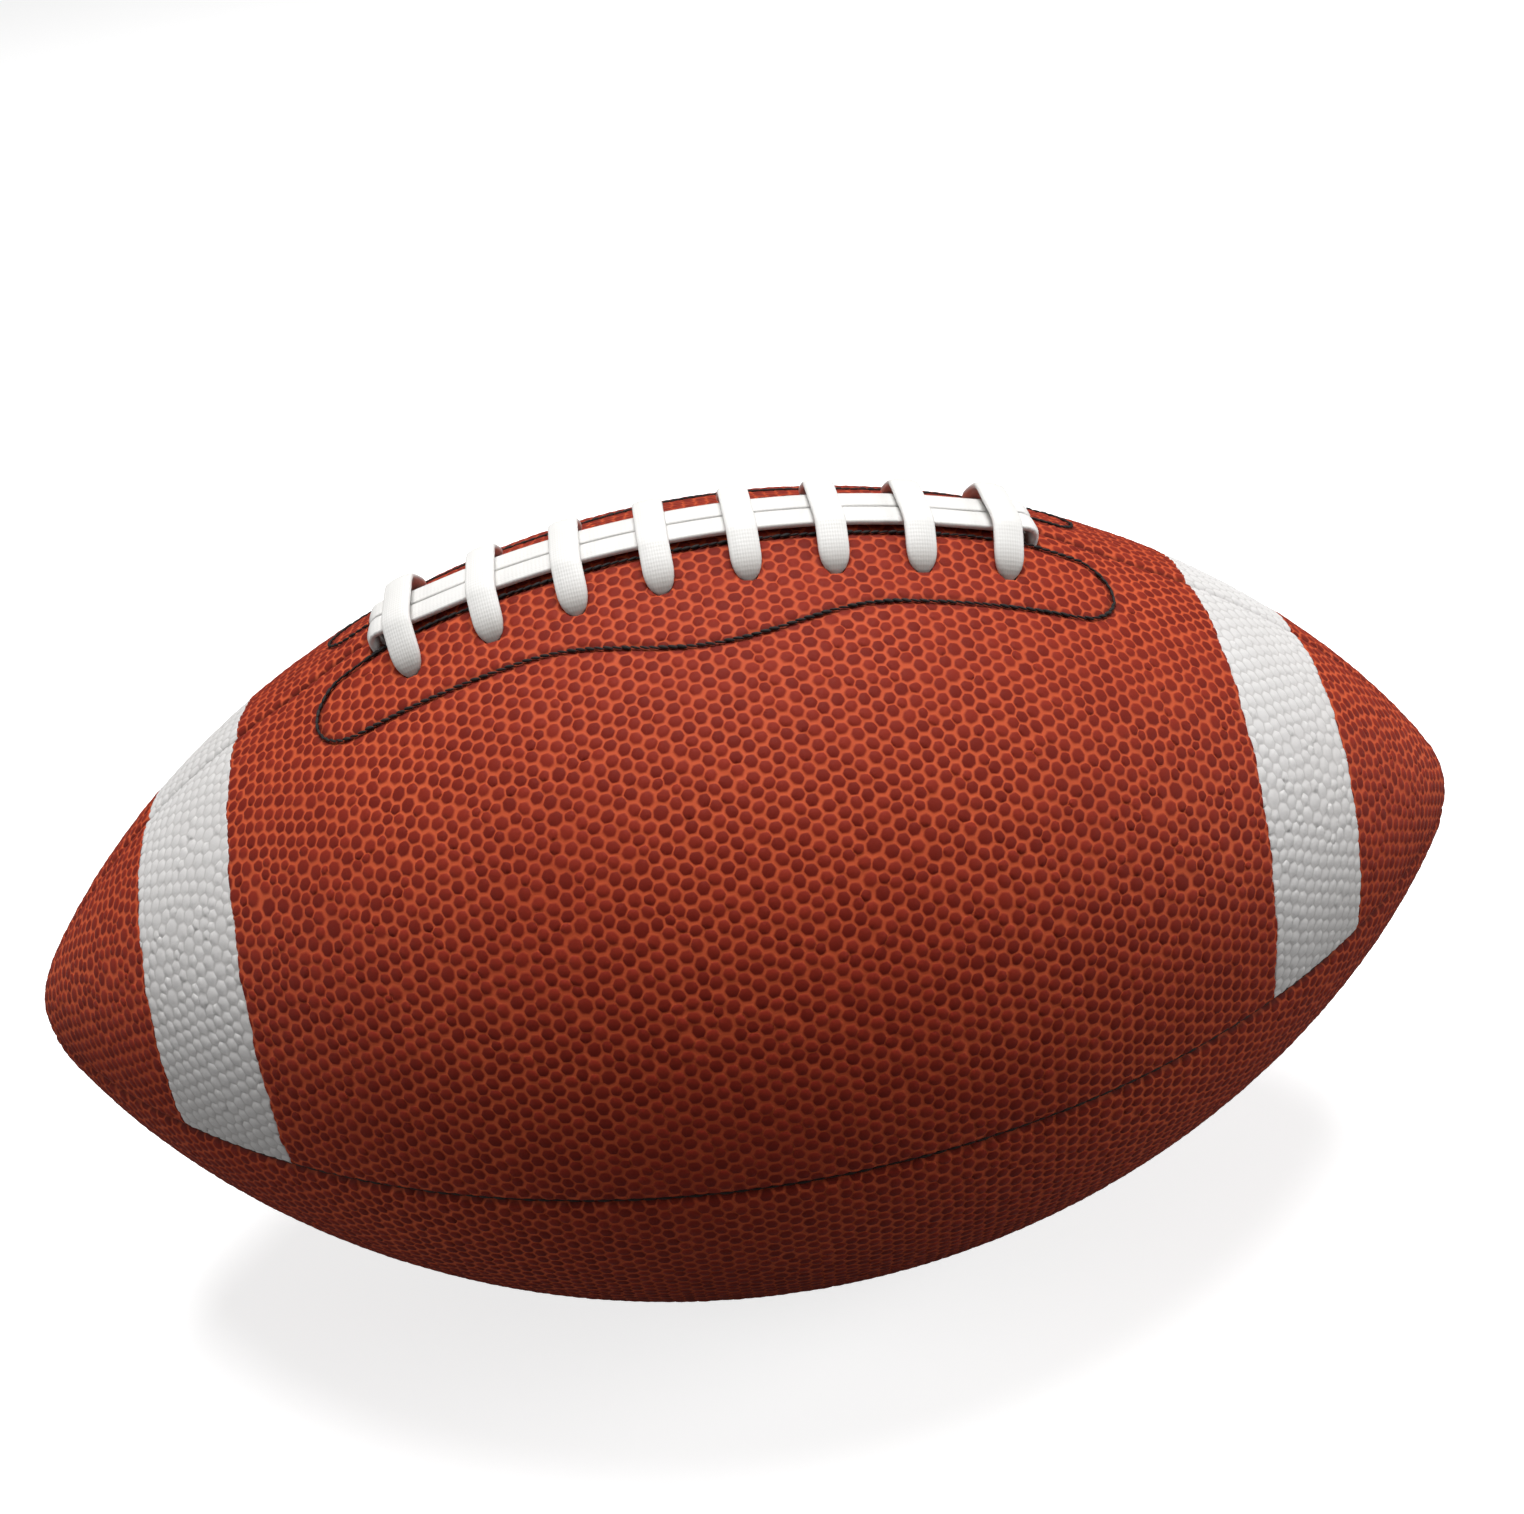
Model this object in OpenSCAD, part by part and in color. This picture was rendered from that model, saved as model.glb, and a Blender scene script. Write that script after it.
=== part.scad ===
// American football: four sewn leather panels round a bladder, closed with a lace
// The long axis is X and the lace is on top. The ball rests on its belly at the origin

/* [Ball] */
// Length from nose to nose
ball_length = 284; // [260:1:300]
// Width across the belly
ball_width = 158; // [146:1:170]
// Radius of each rounded nose
nose_radius = 19; // [16:1:26]

/* [Leather panels] */
// Thickness of the leather
leather_thick = 2; // [1.7:0.1:2.4]
// How far the sewn edges stand in below the leather
seam_allowance = 5; // [4:0.5:7]
// Radius of the rolled edge on each side of a seam
edge_roll = 1.4; // [1:0.1:1.6]
// Thickness of the thread in the seams
seam_thread_thick = 0.5; // [0.4:0.05:0.6]
// Space between a thread and the leather it lies on
thread_clear = 0.03; // [0.02:0.01:0.06]

/* [Lining] */
// Thickness of the cloth lining behind each panel
lining_thick = 1.2; // [0.8:0.1:1.6]
// Glue line between two layers of the casing
ply_gap = 0.1; // [0.05:0.01:0.15]

/* [Stripes] */
// Distance from the tip of a nose to the far edge of its stripe
stripe_from_nose = 54; // [48:1:60]
// Width of a stripe along the leather
stripe_wide = 25.4; // [20:0.2:28]
// Thickness of the white coat
stripe_thick = 0.3; // [0.2:0.05:0.5]

/* [Lacing] */
// Number of cross bars
bar_count = 8; // [6:1:8]
// Distance from one cross bar to the next
bar_pitch = 14.6; // [13:0.2:15]
// Distance from the seam to a lace hole, along the leather
hole_from_seam = 14.2; // [13:0.2:15]
// Width of the flat lace
lace_wide = 5; // [4.4:0.1:5.4]
// Thickness of the flat lace
lace_thick = 1.4; // [1.1:0.1:1.6]
// Space kept between two runs of the lace
lace_gap = 0.5; // [0.45:0.01:0.6]
// Space between the lace and the walls of its holes
lace_clear = 0.4; // [0.3:0.05:0.5]
// Height of the long strands above the leather
lace_rest = 3; // [0.8:0.1:3.4]
// Radius of the bends below the holes
lace_bend = 1.4; // [1.2:0.1:1.6]
// Distance from the last cross bar to where a long strand bends down
strand_reach = 4.6; // [4.2:0.1:5.4]
// Radius of that bend
strand_bend = 1.7; // [1.4:0.1:2]
// How far a long strand rises before it bends down
strand_rise = 0.8; // [0.4:0.1:1]
// Length of the loose end that is tucked in beyond the slit
lace_tail = 11; // [8:1:12]

/* [Lace facing] */
// Thickness of the reinforcement behind the lace holes
facing_thick = 1.2; // [0.8:0.1:1.6]
// Distance from the middle of the ball to the tip of the facing stitching
facing_reach = 69.5; // [68:0.5:72]
// Distance from the seam to the outer stitching at its waist
facing_waist = 21.8; // [20:0.2:24]
// How much further out the stitching runs at the middle
facing_bulge = 6; // [3:0.5:8]
// Length of that bulge
bulge_length = 62; // [50:1:70]
// Radius of the rounded ends of the stitching
tip_radius = 8; // [6:0.5:9]
// Distance from the seam to the inner line of stitching
inner_line = 6.4; // [6.2:0.1:7]
// How far the facing reaches past its stitching
facing_margin = 2.5; // [1.5:0.5:3]
// Thickness of the black stitching thread
thread_thick = 0.7; // [0.5:0.05:0.8]
// Length of one stitch
stitch_long = 2.8; // [2:0.1:4]
// Space between two stitches
stitch_gap = 0.3; // [0.2:0.1:0.6]
// Thickness of the tongue that keeps the lace off the bladder
tongue_thick = 1.2; // [0.8:0.1:2]

/* [Bladder and valve] */
// Wall of the bladder
bladder_wall = 1; // [0.7:0.1:1.4]
// Running space round the bladder
bladder_clear = 0.3; // [0.2:0.05:0.5]
// Angle from straight down to the valve, towards the back
valve_side = 45; // [35:1:55]
// Width of the valve neck
neck_wide = 7; // [6:0.2:9]
// Space round the valve neck
neck_clear = 0.25; // [0.15:0.05:0.4]
// Depth of the valve neck's mouth below the leather's face
neck_depth = 0.6; // [0.4:0.1:1.2]
// Length of the valve neck
neck_length = 15; // [14:0.5:20]
// Width of the valve's base flange
flange_wide = 24; // [18:1:30]
// Thickness of the base flange
flange_thick = 1.3; // [1:0.1:2]
// Width of the valve core
core_wide = 4.4; // [3.8:0.1:5]
// Space round the valve core
core_clear = 0.05; // [0.02:0.01:0.08]
// Thickness of the neck's floor below the core
neck_floor = 1; // [0.8:0.1:1.4]
// Width of the needle hole
needle_wide = 1.9; // [1.7:0.05:2.1]
// Depth of the needle hole
needle_length = 10; // [8:0.5:12]

/* [Hidden] */
$fn = 128;
small_fn = 32;

// Colours
leather_colour = [0.55, 0.19, 0.11];
white_colour = [0.93, 0.93, 0.91];
black_colour = [0.06, 0.05, 0.05];
cloth_colour = [0.78, 0.74, 0.64];
facing_colour = [0.42, 0.26, 0.17];
tongue_colour = [0.30, 0.30, 0.32];
bladder_colour = [0.16, 0.16, 0.17];
valve_colour = [0.10, 0.10, 0.11];
core_colour = [0.62, 0.55, 0.42];

// Outline: one long arc over the belly and a small arc round each nose, tangent to each other
half_length = ball_length / 2;
half_width = ball_width / 2;
nose_x = half_length - nose_radius;
belly_radius = (pow(nose_x, 2) + pow(half_width, 2) - pow(nose_radius, 2)) / (2 * (half_width - nose_radius));
belly_drop = belly_radius - half_width;
join_angle = atan2(belly_drop, nose_x);

// Overrun of cuts and the depth by which joined solids sink into each other
overrun = 2 * leather_thick;
joint_sink = leather_thick / 2;

// Rolled edges: the share by which the roll's circle stands out, the share by which it is
// larger round the noses, and the angle by which the two stretches lap
roll_lean = 0.02;
roll_step = 0.08;
roll_lap = 0.3;
roll_middle = edge_roll * (1 - roll_lean);

// Depths of the layers below the leather's face
lining_depth = leather_thick + ply_gap;
facing_depth = lining_depth + lining_thick + ply_gap;
casing_depth = facing_depth + facing_thick;
flange_depth = leather_thick + seam_allowance;
under_depth = casing_depth + lace_gap;
tongue_depth = under_depth + lace_thick + lace_gap;
bladder_depth = lining_depth + lining_thick + bladder_clear;
recess_depth = tongue_depth + tongue_thick + bladder_clear;

// Stripe edges, the width measured along the belly arc
stripe_start = half_length - stripe_from_nose;
stripe_angle = asin(stripe_start / belly_radius) + stripe_wide / belly_radius * 180 / PI;
stripe_end = belly_radius * sin(stripe_angle);

// Lacing
last_bar = bar_pitch * (bar_count - 1) / 2;
slot_long = lace_wide + 2 * lace_clear;
slot_wide = lace_thick + 2 * lace_clear;
strand_side = (lace_wide + lace_gap) / 2;
strand_high = lace_rest + lace_thick / 2;
bar_high = strand_high + lace_thick + lace_gap;
under_high = -under_depth - lace_thick / 2;
turn_depth = under_high + lace_bend;
bend_x = last_bar + strand_reach;
mouth_start = bend_x - lace_thick / 2 - lace_clear;
mouth_end = bend_x + strand_bend + lace_thick / 2 + lace_clear;
mouth_mid = (mouth_start + mouth_end) / 2;
mouth_half = strand_side + lace_wide / 2 + lace_clear;
zone_reach = facing_reach + facing_margin;

// Space for the facing and the tongue above the bladder
tongue_half = facing_waist + facing_bulge + facing_margin;
recess_reach = zone_reach + bladder_clear + ply_gap;
recess_half = tongue_half + bladder_clear + ply_gap;

// Valve
valve_turn = 180 + valve_side;
mouth_level = half_width - neck_depth;
wall_inside = bladder_depth + bladder_wall;

// Radius of the ball at a place along it, and the slope of its side there
function ball_radius(x) = sqrt(pow(belly_radius, 2) - pow(x, 2)) - belly_drop;
function slope(x) = asin(x / belly_radius);
function turn_at(x, side) = side / ball_radius(x) * 180 / PI;

// A point given by its place along the ball, its distance from the top seam and its height
function place(x, side, high) =
    let (turn = turn_at(x, side), lean = slope(x), r = ball_radius(x) + high * cos(lean))
    [x + high * sin(lean), -r * sin(turn), r * cos(turn)];

// The pieces are drawn round the middle of the ball and lifted so that it rests on the floor
module lift() {
    translate([0, 0, half_width]) children();
}

// Half of the ball's outline, drawn in from its face by a depth
module outline_half(depth) {
    reach = belly_radius + overrun;
    ray_x = reach * cos(join_angle);
    ray_y = reach * sin(join_angle) - belly_drop;
    top_y = half_width + overrun;
    end_x = half_length + overrun;
    intersection() {
        translate([0, -belly_drop]) circle(r = belly_radius - depth);
        polygon([
            [nose_x, 0], [ray_x, ray_y], [ray_x, top_y],
            [-ray_x, top_y], [-ray_x, ray_y], [-nose_x, 0]
        ]);
    }
    for (side = [0, 1])
        mirror([side, 0])
            intersection() {
                translate([nose_x, 0]) circle(r = nose_radius - depth);
                polygon([[nose_x, 0], [ray_x, ray_y], [end_x, ray_y], [end_x, 0]]);
            }
}

module outline_band(from, to) {
    difference() {
        outline_half(from);
        outline_half(to);
    }
}

// Spins a half outline round the long axis, from one angle by another
module spin(start, sweep) {
    rotate([0, 90, 0])
        rotate_extrude(start = start, angle = sweep)
            rotate([0, 0, 90]) mirror([0, 1]) children();
}

module solid_ball(depth) {
    spin(0, 360) outline_half(depth);
}

// Skin of the front upper quarter between two depths
module quarter_skin(from, to) {
    spin(180, 90) outline_band(from, to);
}

// The other three quarters are mirrored from the front upper one
module quarter(back, lower) {
    mirror([0, back, 0]) mirror([0, 0, lower]) children();
}

// Sweeps a small section along the belly arc and round the noses, over the top of the ball
module sweep_belly(from, to) {
    rotate([90, 0, 0])
        translate([0, -belly_drop, 0])
            rotate_extrude(start = from, angle = to - from)
                translate([belly_radius, 0]) children();
}

module sweep_nose(left, stop) {
    rotate([90, 0, 0])
        mirror([left, 0, 0])
            translate([nose_x, 0, 0])
                rotate_extrude(start = stop, angle = join_angle - stop)
                    translate([nose_radius, 0]) children();
}

module sweep_outline(stop) {
    sweep_belly(join_angle, 180 - join_angle) children();
    for (left = [0, 1])
        sweep_nose(left, stop) children();
}

// Section that rounds off a sewn edge. Its circle stands out a little past the leather's face
// and past the seam, so that it meets both at an angle
module roll_section(grow) {
    scale([grow, grow])
        difference() {
            translate([-roll_middle, -overrun])
                square([roll_middle + overrun, roll_middle + overrun]);
            translate([-roll_middle, roll_middle]) circle(r = edge_roll, $fn = small_fn);
        }
}

// One sewn edge. The roll is a little larger round the noses, and laps over the belly's end
module one_roll(flip) {
    sweep_belly(join_angle - roll_lap, 180 - join_angle + roll_lap)
        mirror([0, flip]) roll_section(1);
    for (left = [0, 1])
        sweep_nose(left, 0) mirror([0, flip]) roll_section(1 + roll_step);
}

module edge_rolls() {
    one_roll(0);
    rotate([90, 0, 0]) one_roll(1);
}

// Plates that stand in from the two sewn edges of the front upper quarter
module seam_plates() {
    rotate([90, 0, 0]) linear_extrude(leather_thick) outline_band(joint_sink, flange_depth);
    linear_extrude(leather_thick) mirror([0, 1]) outline_band(joint_sink, flange_depth);
}

// Stands a child on the leather, its Z axis along the leather's own normal
module on_leather(x, side) {
    rotate([turn_at(x, side), 0, 0])
        translate([x, 0, ball_radius(x)])
            rotate([0, slope(x), 0]) children();
}

module slot() {
    depth = casing_depth + overrun;
    half_step = (slot_long - slot_wide) / 2;
    translate([0, 0, -depth])
        linear_extrude(depth + overrun) {
            square([2 * half_step, slot_wide], center = true);
            for (side = [-1, 1])
                translate([side * half_step, 0]) circle(d = slot_wide, $fn = small_fn);
        }
}

// Half of a mouth, from its wall on the front side to just past the seam
module mouth() {
    depth = casing_depth + overrun;
    long = (mouth_end - mouth_start) / cos(slope(mouth_mid));
    translate([-long / 2, -mouth_half, -depth])
        cube([long, mouth_half + overrun, depth + overrun]);
}

function bar_x(i) = bar_pitch * i - last_bar;

// Eight holes of the front upper quarter, and the mouths where the long strands go in
module lace_cuts() {
    for (i = [0 : bar_count - 1])
        on_leather(bar_x(i), hole_from_seam) slot();
    for (left = [0, 1])
        mirror([left, 0, 0])
            on_leather(mouth_mid, 0) mouth();
}

// Under the lacing the sewn edges are trimmed back so that the lace can pass below them
module zone_trim() {
    intersection() {
        translate([-zone_reach, -leather_thick - overrun, 0])
            cube([2 * zone_reach, leather_thick + 2 * overrun, half_width + overrun]);
        solid_ball(casing_depth);
    }
}

// The white coat reaches to the rolled edges
module stripe_slab(left) {
    side = half_width - edge_roll;
    mirror([left, 0, 0])
        translate([stripe_start, -half_width, edge_roll])
            cube([stripe_end - stripe_start, side, side]);
}

module stripe_recess(left) {
    intersection() {
        quarter_skin(-overrun, stripe_thick);
        stripe_slab(left);
    }
}

module stripe(left) {
    color(white_colour)
        intersection() {
            quarter_skin(0, stripe_thick);
            stripe_slab(left);
        }
}

module upper_panel() {
    color(leather_colour)
        difference() {
            union() {
                quarter_skin(0, leather_thick);
                seam_plates();
            }
            edge_rolls();
            zone_trim();
            lace_cuts();
            for (left = [0, 1])
                stripe_recess(left);
        }
}

module valve_hole() {
    rotate([valve_turn, 0, 0])
        cylinder(d = neck_wide + 2 * neck_clear, h = half_width + overrun);
}

module lower_panel() {
    color(leather_colour)
        difference() {
            union() {
                quarter_skin(0, leather_thick);
                seam_plates();
            }
            edge_rolls();
        }
}

module panel_front_upper() {
    lift() upper_panel();
}

module panel_back_upper() {
    lift() quarter(1, 0) upper_panel();
}

module panel_front_lower() {
    lift() quarter(0, 1) lower_panel();
}

module panel_back_lower() {
    color(leather_colour) lift()
        difference() {
            quarter(1, 1) lower_panel();
            valve_hole();
        }
}

// Space inside the front upper quarter, clear of the plates on its two sewn edges
module inner_quarter() {
    edge = leather_thick + ply_gap;
    translate([-half_length, -half_width, edge])
        cube([ball_length, half_width - edge, half_width - edge]);
}

module quarter_lining() {
    color(cloth_colour)
        intersection() {
            quarter_skin(lining_depth, lining_depth + lining_thick);
            inner_quarter();
        }
}

module upper_lining() {
    color(cloth_colour)
        difference() {
            quarter_lining();
            lace_cuts();
        }
}

module lining_front_upper() {
    lift() upper_lining();
}

module lining_back_upper() {
    lift() quarter(1, 0) upper_lining();
}

module lining_front_lower() {
    lift() quarter(0, 1) quarter_lining();
}

module lining_back_lower() {
    color(cloth_colour) lift()
        difference() {
            quarter(1, 1) quarter_lining();
            valve_hole();
        }
}

// Outline of the facing as places along the ball and distances from the seam, grown by a margin
outer_steps = 24;
tip_steps = 8;
tip_sweep = 150;
tip_x = facing_reach - tip_radius;
tip_side = facing_waist - tip_radius;
function bulge(x) = facing_bulge * (1 + cos(360 * x / bulge_length)) / 2;
function outer_line(x) = facing_waist + (abs(x) < bulge_length / 2 ? bulge(x) : 0);
function outer_stop(i, grow) =
    let (x = tip_x * (2 * i / outer_steps - 1))
    [x, outer_line(x) + grow];
// A step round the tip at the right, where the side is 1, or at the left, where it is -1
function tip_stop(i, side, grow) =
    let (a = 90 - tip_sweep * i / tip_steps, r = tip_radius + grow)
    [side * (tip_x + r * cos(a)), tip_side + r * sin(a)];
function facing_loop(grow) = concat(
    [for (i = [0 : outer_steps]) outer_stop(i, grow)],
    [for (i = [1 : tip_steps]) tip_stop(i, 1, grow)],
    [[bend_x, inner_line - grow], [-bend_x, inner_line - grow]],
    [for (i = [tip_steps : -1 : 1]) tip_stop(i, -1, grow)]
);
function seen_from_above(p) = [p[0], p[1]];

module facing() {
    color(facing_colour)
        difference() {
            intersection() {
                quarter_skin(facing_depth, casing_depth);
                linear_extrude(half_width)
                    polygon([for (p = facing_loop(facing_margin)) seen_from_above(place(p[0], p[1], 0))]);
                inner_quarter();
            }
            lace_cuts();
        }
}

module lace_facing_front() {
    lift() facing();
}

module lace_facing_back() {
    lift() quarter(1, 0) facing();
}

// Black stitches that hold the facing: short round-ended lengths of thread laid end to end
stitch_line = facing_loop(0);
line_count = len(stitch_line);
function line_length(i) =
    i == 0 ? 0 : line_length(i - 1) + norm(stitch_line[i % line_count] - stitch_line[i - 1]);
line_marks = [for (i = [0 : line_count]) line_length(i)];
line_total = line_marks[line_count];
stitch_count = round(line_total / (stitch_long + stitch_gap));
function on_line(mark, axis) =
    lookup(mark, [for (i = [0 : line_count]) [line_marks[i], stitch_line[i % line_count][axis]]]);
function stitch_end(mark) =
    place(on_line(mark, 0), on_line(mark, 1), thread_thick / 2 + thread_clear);

// A round-ended rod from one point to another
module rod(from, to, thick) {
    way = to - from;
    long = norm(way);
    translate(from)
        rotate([0, acos(way[2] / long), atan2(way[1], way[0])])
            rotate_extrude($fn = small_fn)
                intersection() {
                    union() {
                        translate([-thick / 2, thick / 2]) square([thick, long - thick]);
                        translate([0, thick / 2]) circle(d = thick);
                        translate([0, long - thick / 2]) circle(d = thick);
                    }
                    square([thick, long]);
                }
}

module facing_stitching() {
    step = line_total / stitch_count;
    color(black_colour)
        for (i = [0 : stitch_count - 1])
            rod(stitch_end(i * step), stitch_end((i + 1) * step - stitch_gap), thread_thick);
}

module facing_stitching_front() {
    lift() facing_stitching();
}

module facing_stitching_back() {
    lift() quarter(1, 0) facing_stitching();
}

module stripe_front_left() {
    lift() stripe(1);
}

module stripe_front_right() {
    lift() stripe(0);
}

module stripe_back_left() {
    lift() quarter(1, 0) stripe(1);
}

module stripe_back_right() {
    lift() quarter(1, 0) stripe(0);
}

// Seam thread lies in the crease, against both rolled edges, and stops short of the noses
thread_reach = edge_roll + seam_thread_thick / 2 + thread_clear;
thread_depth = roll_middle - sqrt(pow(thread_reach, 2) - pow(roll_middle, 2));
thread_stop = 2 * edge_roll / nose_radius * 180 / PI;

module thread_section() {
    translate([-thread_depth, 0]) circle(d = seam_thread_thick, $fn = small_fn);
}

// A bead of thread joins the stretch over the belly to the stretch round a nose
module thread_bead(left) {
    bead_radius = nose_radius - thread_depth;
    mirror([left, 0, 0])
        translate([nose_x + bead_radius * cos(join_angle), 0, bead_radius * sin(join_angle)])
            sphere(d = seam_thread_thick + thread_clear, $fn = small_fn);
}

module seam_thread(turn) {
    color(black_colour)
        rotate([turn, 0, 0]) {
            sweep_outline(thread_stop) thread_section();
            for (left = [0, 1])
                thread_bead(left);
        }
}

module seam_thread_front() {
    lift() seam_thread(90);
}

module seam_thread_back() {
    lift() seam_thread(-90);
}

module seam_thread_bottom() {
    lift() seam_thread(180);
}

// On top the seam is sewn only from each nose to the slit
module top_thread(left) {
    slit_angle = acos((mouth_end + seam_thread_thick) / belly_radius);
    color(black_colour) {
        mirror([left, 0, 0]) sweep_belly(join_angle, slit_angle) thread_section();
        sweep_nose(left, thread_stop) thread_section();
        thread_bead(left);
    }
}

module seam_thread_top_left() {
    lift() top_thread(1);
}

module seam_thread_top_right() {
    lift() top_thread(0);
}

// Tongue below the lace, a rounded strip that follows the ball
module tongue() {
    corner = tip_radius;
    intersection() {
        spin(90, 180) outline_band(tongue_depth, tongue_depth + tongue_thick);
        linear_extrude(half_width)
            rounded_rectangle(zone_reach, tongue_half, corner);
    }
}

module rounded_rectangle(half_x, half_y, corner) {
    square([2 * half_x, 2 * (half_y - corner)], center = true);
    square([2 * (half_x - corner), 2 * half_y], center = true);
    for (side_x = [-1, 1])
        for (side_y = [-1, 1])
            translate([side_x * (half_x - corner), side_y * (half_y - corner)])
                circle(r = corner, $fn = small_fn);
}

module lace_tongue() {
    color(tongue_colour) lift() tongue();
}

// Bladder: fills the casing, with a channel over each seam and a recess below the lacing
module bladder_form(wall) {
    channel_half = leather_thick + bladder_clear + wall;
    reach = ball_length + overrun;
    difference() {
        union() {
            difference() {
                solid_ball(bladder_depth + wall);
                cube([reach, 2 * channel_half, reach], center = true);
                cube([reach, reach, 2 * channel_half], center = true);
            }
            solid_ball(flange_depth + bladder_clear + wall);
        }
        difference() {
            linear_extrude(half_width)
                rounded_rectangle(recess_reach + wall, recess_half + wall, tip_radius);
            solid_ball(recess_depth + wall);
        }
    }
}

module bladder() {
    color(bladder_colour) lift()
        difference() {
            bladder_form(0);
            bladder_form(bladder_wall);
            valve_hole();
        }
}

// Valve housing: a neck through the casing and a flange against the inside of the bladder
module valve_housing() {
    color(valve_colour) lift()
        rotate([valve_turn, 0, 0])
            difference() {
                union() {
                    translate([0, 0, mouth_level - neck_length])
                        cylinder(d = neck_wide, h = neck_length);
                    intersection() {
                        cylinder(d = flange_wide, h = half_width);
                        difference() {
                            solid_ball(wall_inside + ply_gap);
                            solid_ball(wall_inside + ply_gap + flange_thick);
                        }
                    }
                }
                translate([0, 0, mouth_level - neck_length + neck_floor])
                    cylinder(d = core_wide + 2 * core_clear, h = neck_length + overrun);
            }
}

// Valve core: a rubber plug with a blind hole for the needle
module valve_core() {
    core_length = neck_length - neck_floor - core_clear;
    color(core_colour) lift()
        rotate([valve_turn, 0, 0])
            difference() {
                translate([0, 0, mouth_level - core_length])
                    cylinder(d = core_wide, h = core_length);
                translate([0, 0, mouth_level - needle_length])
                    cylinder(d = needle_wide, h = needle_length + overrun, $fn = small_fn);
            }
}

// Route of the lace. Each stop is a place along the ball, a distance from the seam, a height,
// and the heading of the lace's width: 0 along the ball, 90 across it
hole_mid = -casing_depth / 2;
hole_low = -casing_depth;
lift_share = 0.8;
end_lift = strand_rise * lift_share;
bar_shares = [[1, 0.02], [0.94, 0.27], [0.8, 0.53], [0.62, 0.8], [0.44, 1]];
function is_end(i) = i == 0 || i == bar_count - 1;
function bar_top(i) = bar_high + (is_end(i) ? end_lift : 0);

function bar_side(i, sign) = [
    [bar_x(i), sign * hole_from_seam, turn_depth, 0],
    [bar_x(i), sign * hole_from_seam, hole_mid, 0],
    for (share = bar_shares) [bar_x(i), sign * hole_from_seam * share[0], bar_top(i) * share[1], 0]
];
function reversed(list) = [for (i = [len(list) - 1 : -1 : 0]) list[i]];

// Up through the front hole, over the strands and down through the back hole
function one_bar(i) = concat(bar_side(i, 1), [[bar_x(i), 0, bar_top(i), 0]], reversed(bar_side(i, -1)));

// A bend below a hole, from upright to level
bend_angles = [45, 90];
function low_bend(x, sign) = [
    for (a = bend_angles)
        [x, sign * (hole_from_seam - lace_bend * (1 - cos(a))), turn_depth - lace_bend * sin(a), 0]
];

// Below the casing from the back hole of one bar to the front hole of the next
under_shares = [0.25, 0.5, 0.75];
function under_run(i) =
    let (reach = hole_from_seam - lace_bend)
    concat(
        low_bend(bar_x(i), -1),
        [for (share = under_shares) [bar_x(i) - bar_pitch * share, reach * (2 * share - 1), under_high, 0]],
        reversed(low_bend(bar_x(i - 1), 1))
    );

// The two strands keep their distance as they go down, so deeper ones turn further from the seam
function deeper(x, side, high) = side * ball_radius(x) / (ball_radius(x) + high * cos(slope(x)));
function strand_stop(x, side, high) = [x, deeper(x, side, high), high, 90];

// From a long strand down into the mouth at its end, at the right
bend_steps = [90, 60, 30, 0];
function strand_end(side) = [
    [last_bar + lace_wide / 2, side, strand_high + strand_rise * lift_share, 90],
    for (a = bend_steps)
        [bend_x + strand_bend * cos(a), side, strand_high + strand_rise - strand_bend * (1 - sin(a)), 90],
    strand_stop(bend_x + strand_bend, side, hole_mid)
];

// From the mouth round to the front hole of the last bar: shares of the way back along the
// ball and of the way out to the hole, and the heading of the width
mouth_share = 0.7;
link_shares = [[0, 0, 84], [0.45, 0.12, 60], [0.85, 0.36, 30], [1, 0.66, 8]];
function strand_link(side) =
    let (reach = hole_from_seam - lace_bend, start = deeper(bend_x, side, under_high))
    concat(
        [strand_stop(bend_x + strand_bend * mouth_share, side, hole_low)],
        [
            for (share = link_shares)
                [bend_x - strand_reach * share[0], start + (reach - start) * share[1], under_high, share[2]]
        ],
        reversed(low_bend(last_bar, 1))
    );

// The loose end, tucked in beyond the mouth
tail_bend = hole_low - under_high;
tail_steps = [0, 45, 90];
function strand_tail(side) = [
    for (a = tail_steps)
        strand_stop(bend_x + strand_bend + tail_bend * (1 - cos(a)), side, hole_low - tail_bend * sin(a)),
    strand_stop(bend_x + lace_tail, side, under_high)
];

function long_strand(side) = [
    for (i = [0 : bar_count - 1])
        [bar_x(i), side, strand_high + (is_end(i) ? strand_rise * (1 - lift_share) : 0), 90]
];
function turned(list) = reversed([for (p = list) [-p[0], -p[1], p[2], p[3]]]);

front_half = concat(
    turned(strand_tail(-strand_side)),
    turned(strand_end(-strand_side)),
    long_strand(strand_side),
    strand_end(strand_side),
    strand_link(strand_side)
);
lace_route = concat(
    front_half,
    [for (i = [bar_count - 1 : -1 : 0]) each concat(one_bar(i), i > 0 ? under_run(i) : [])],
    turned(front_half)
);

module lace() {
    echo(lace_length = route_length(), least_gap = least_gap());
    color(white_colour) lift() flat_lace();
}

// Section of the lace, with bevelled edges
bevel_share = 0.3;
bevel = lace_thick * bevel_share;
lace_section = [
    [lace_wide / 2, bevel - lace_thick / 2],
    [lace_wide / 2, lace_thick / 2 - bevel],
    [lace_wide / 2 - bevel, lace_thick / 2],
    [bevel - lace_wide / 2, lace_thick / 2],
    [-lace_wide / 2, lace_thick / 2 - bevel],
    [-lace_wide / 2, bevel - lace_thick / 2],
    [bevel - lace_wide / 2, -lace_thick / 2],
    [lace_wide / 2 - bevel, -lace_thick / 2]
];
side_count = len(lace_section);
stop_count = len(lace_route);
route_points = [for (p = lace_route) place(p[0], p[1], p[2])];

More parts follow.
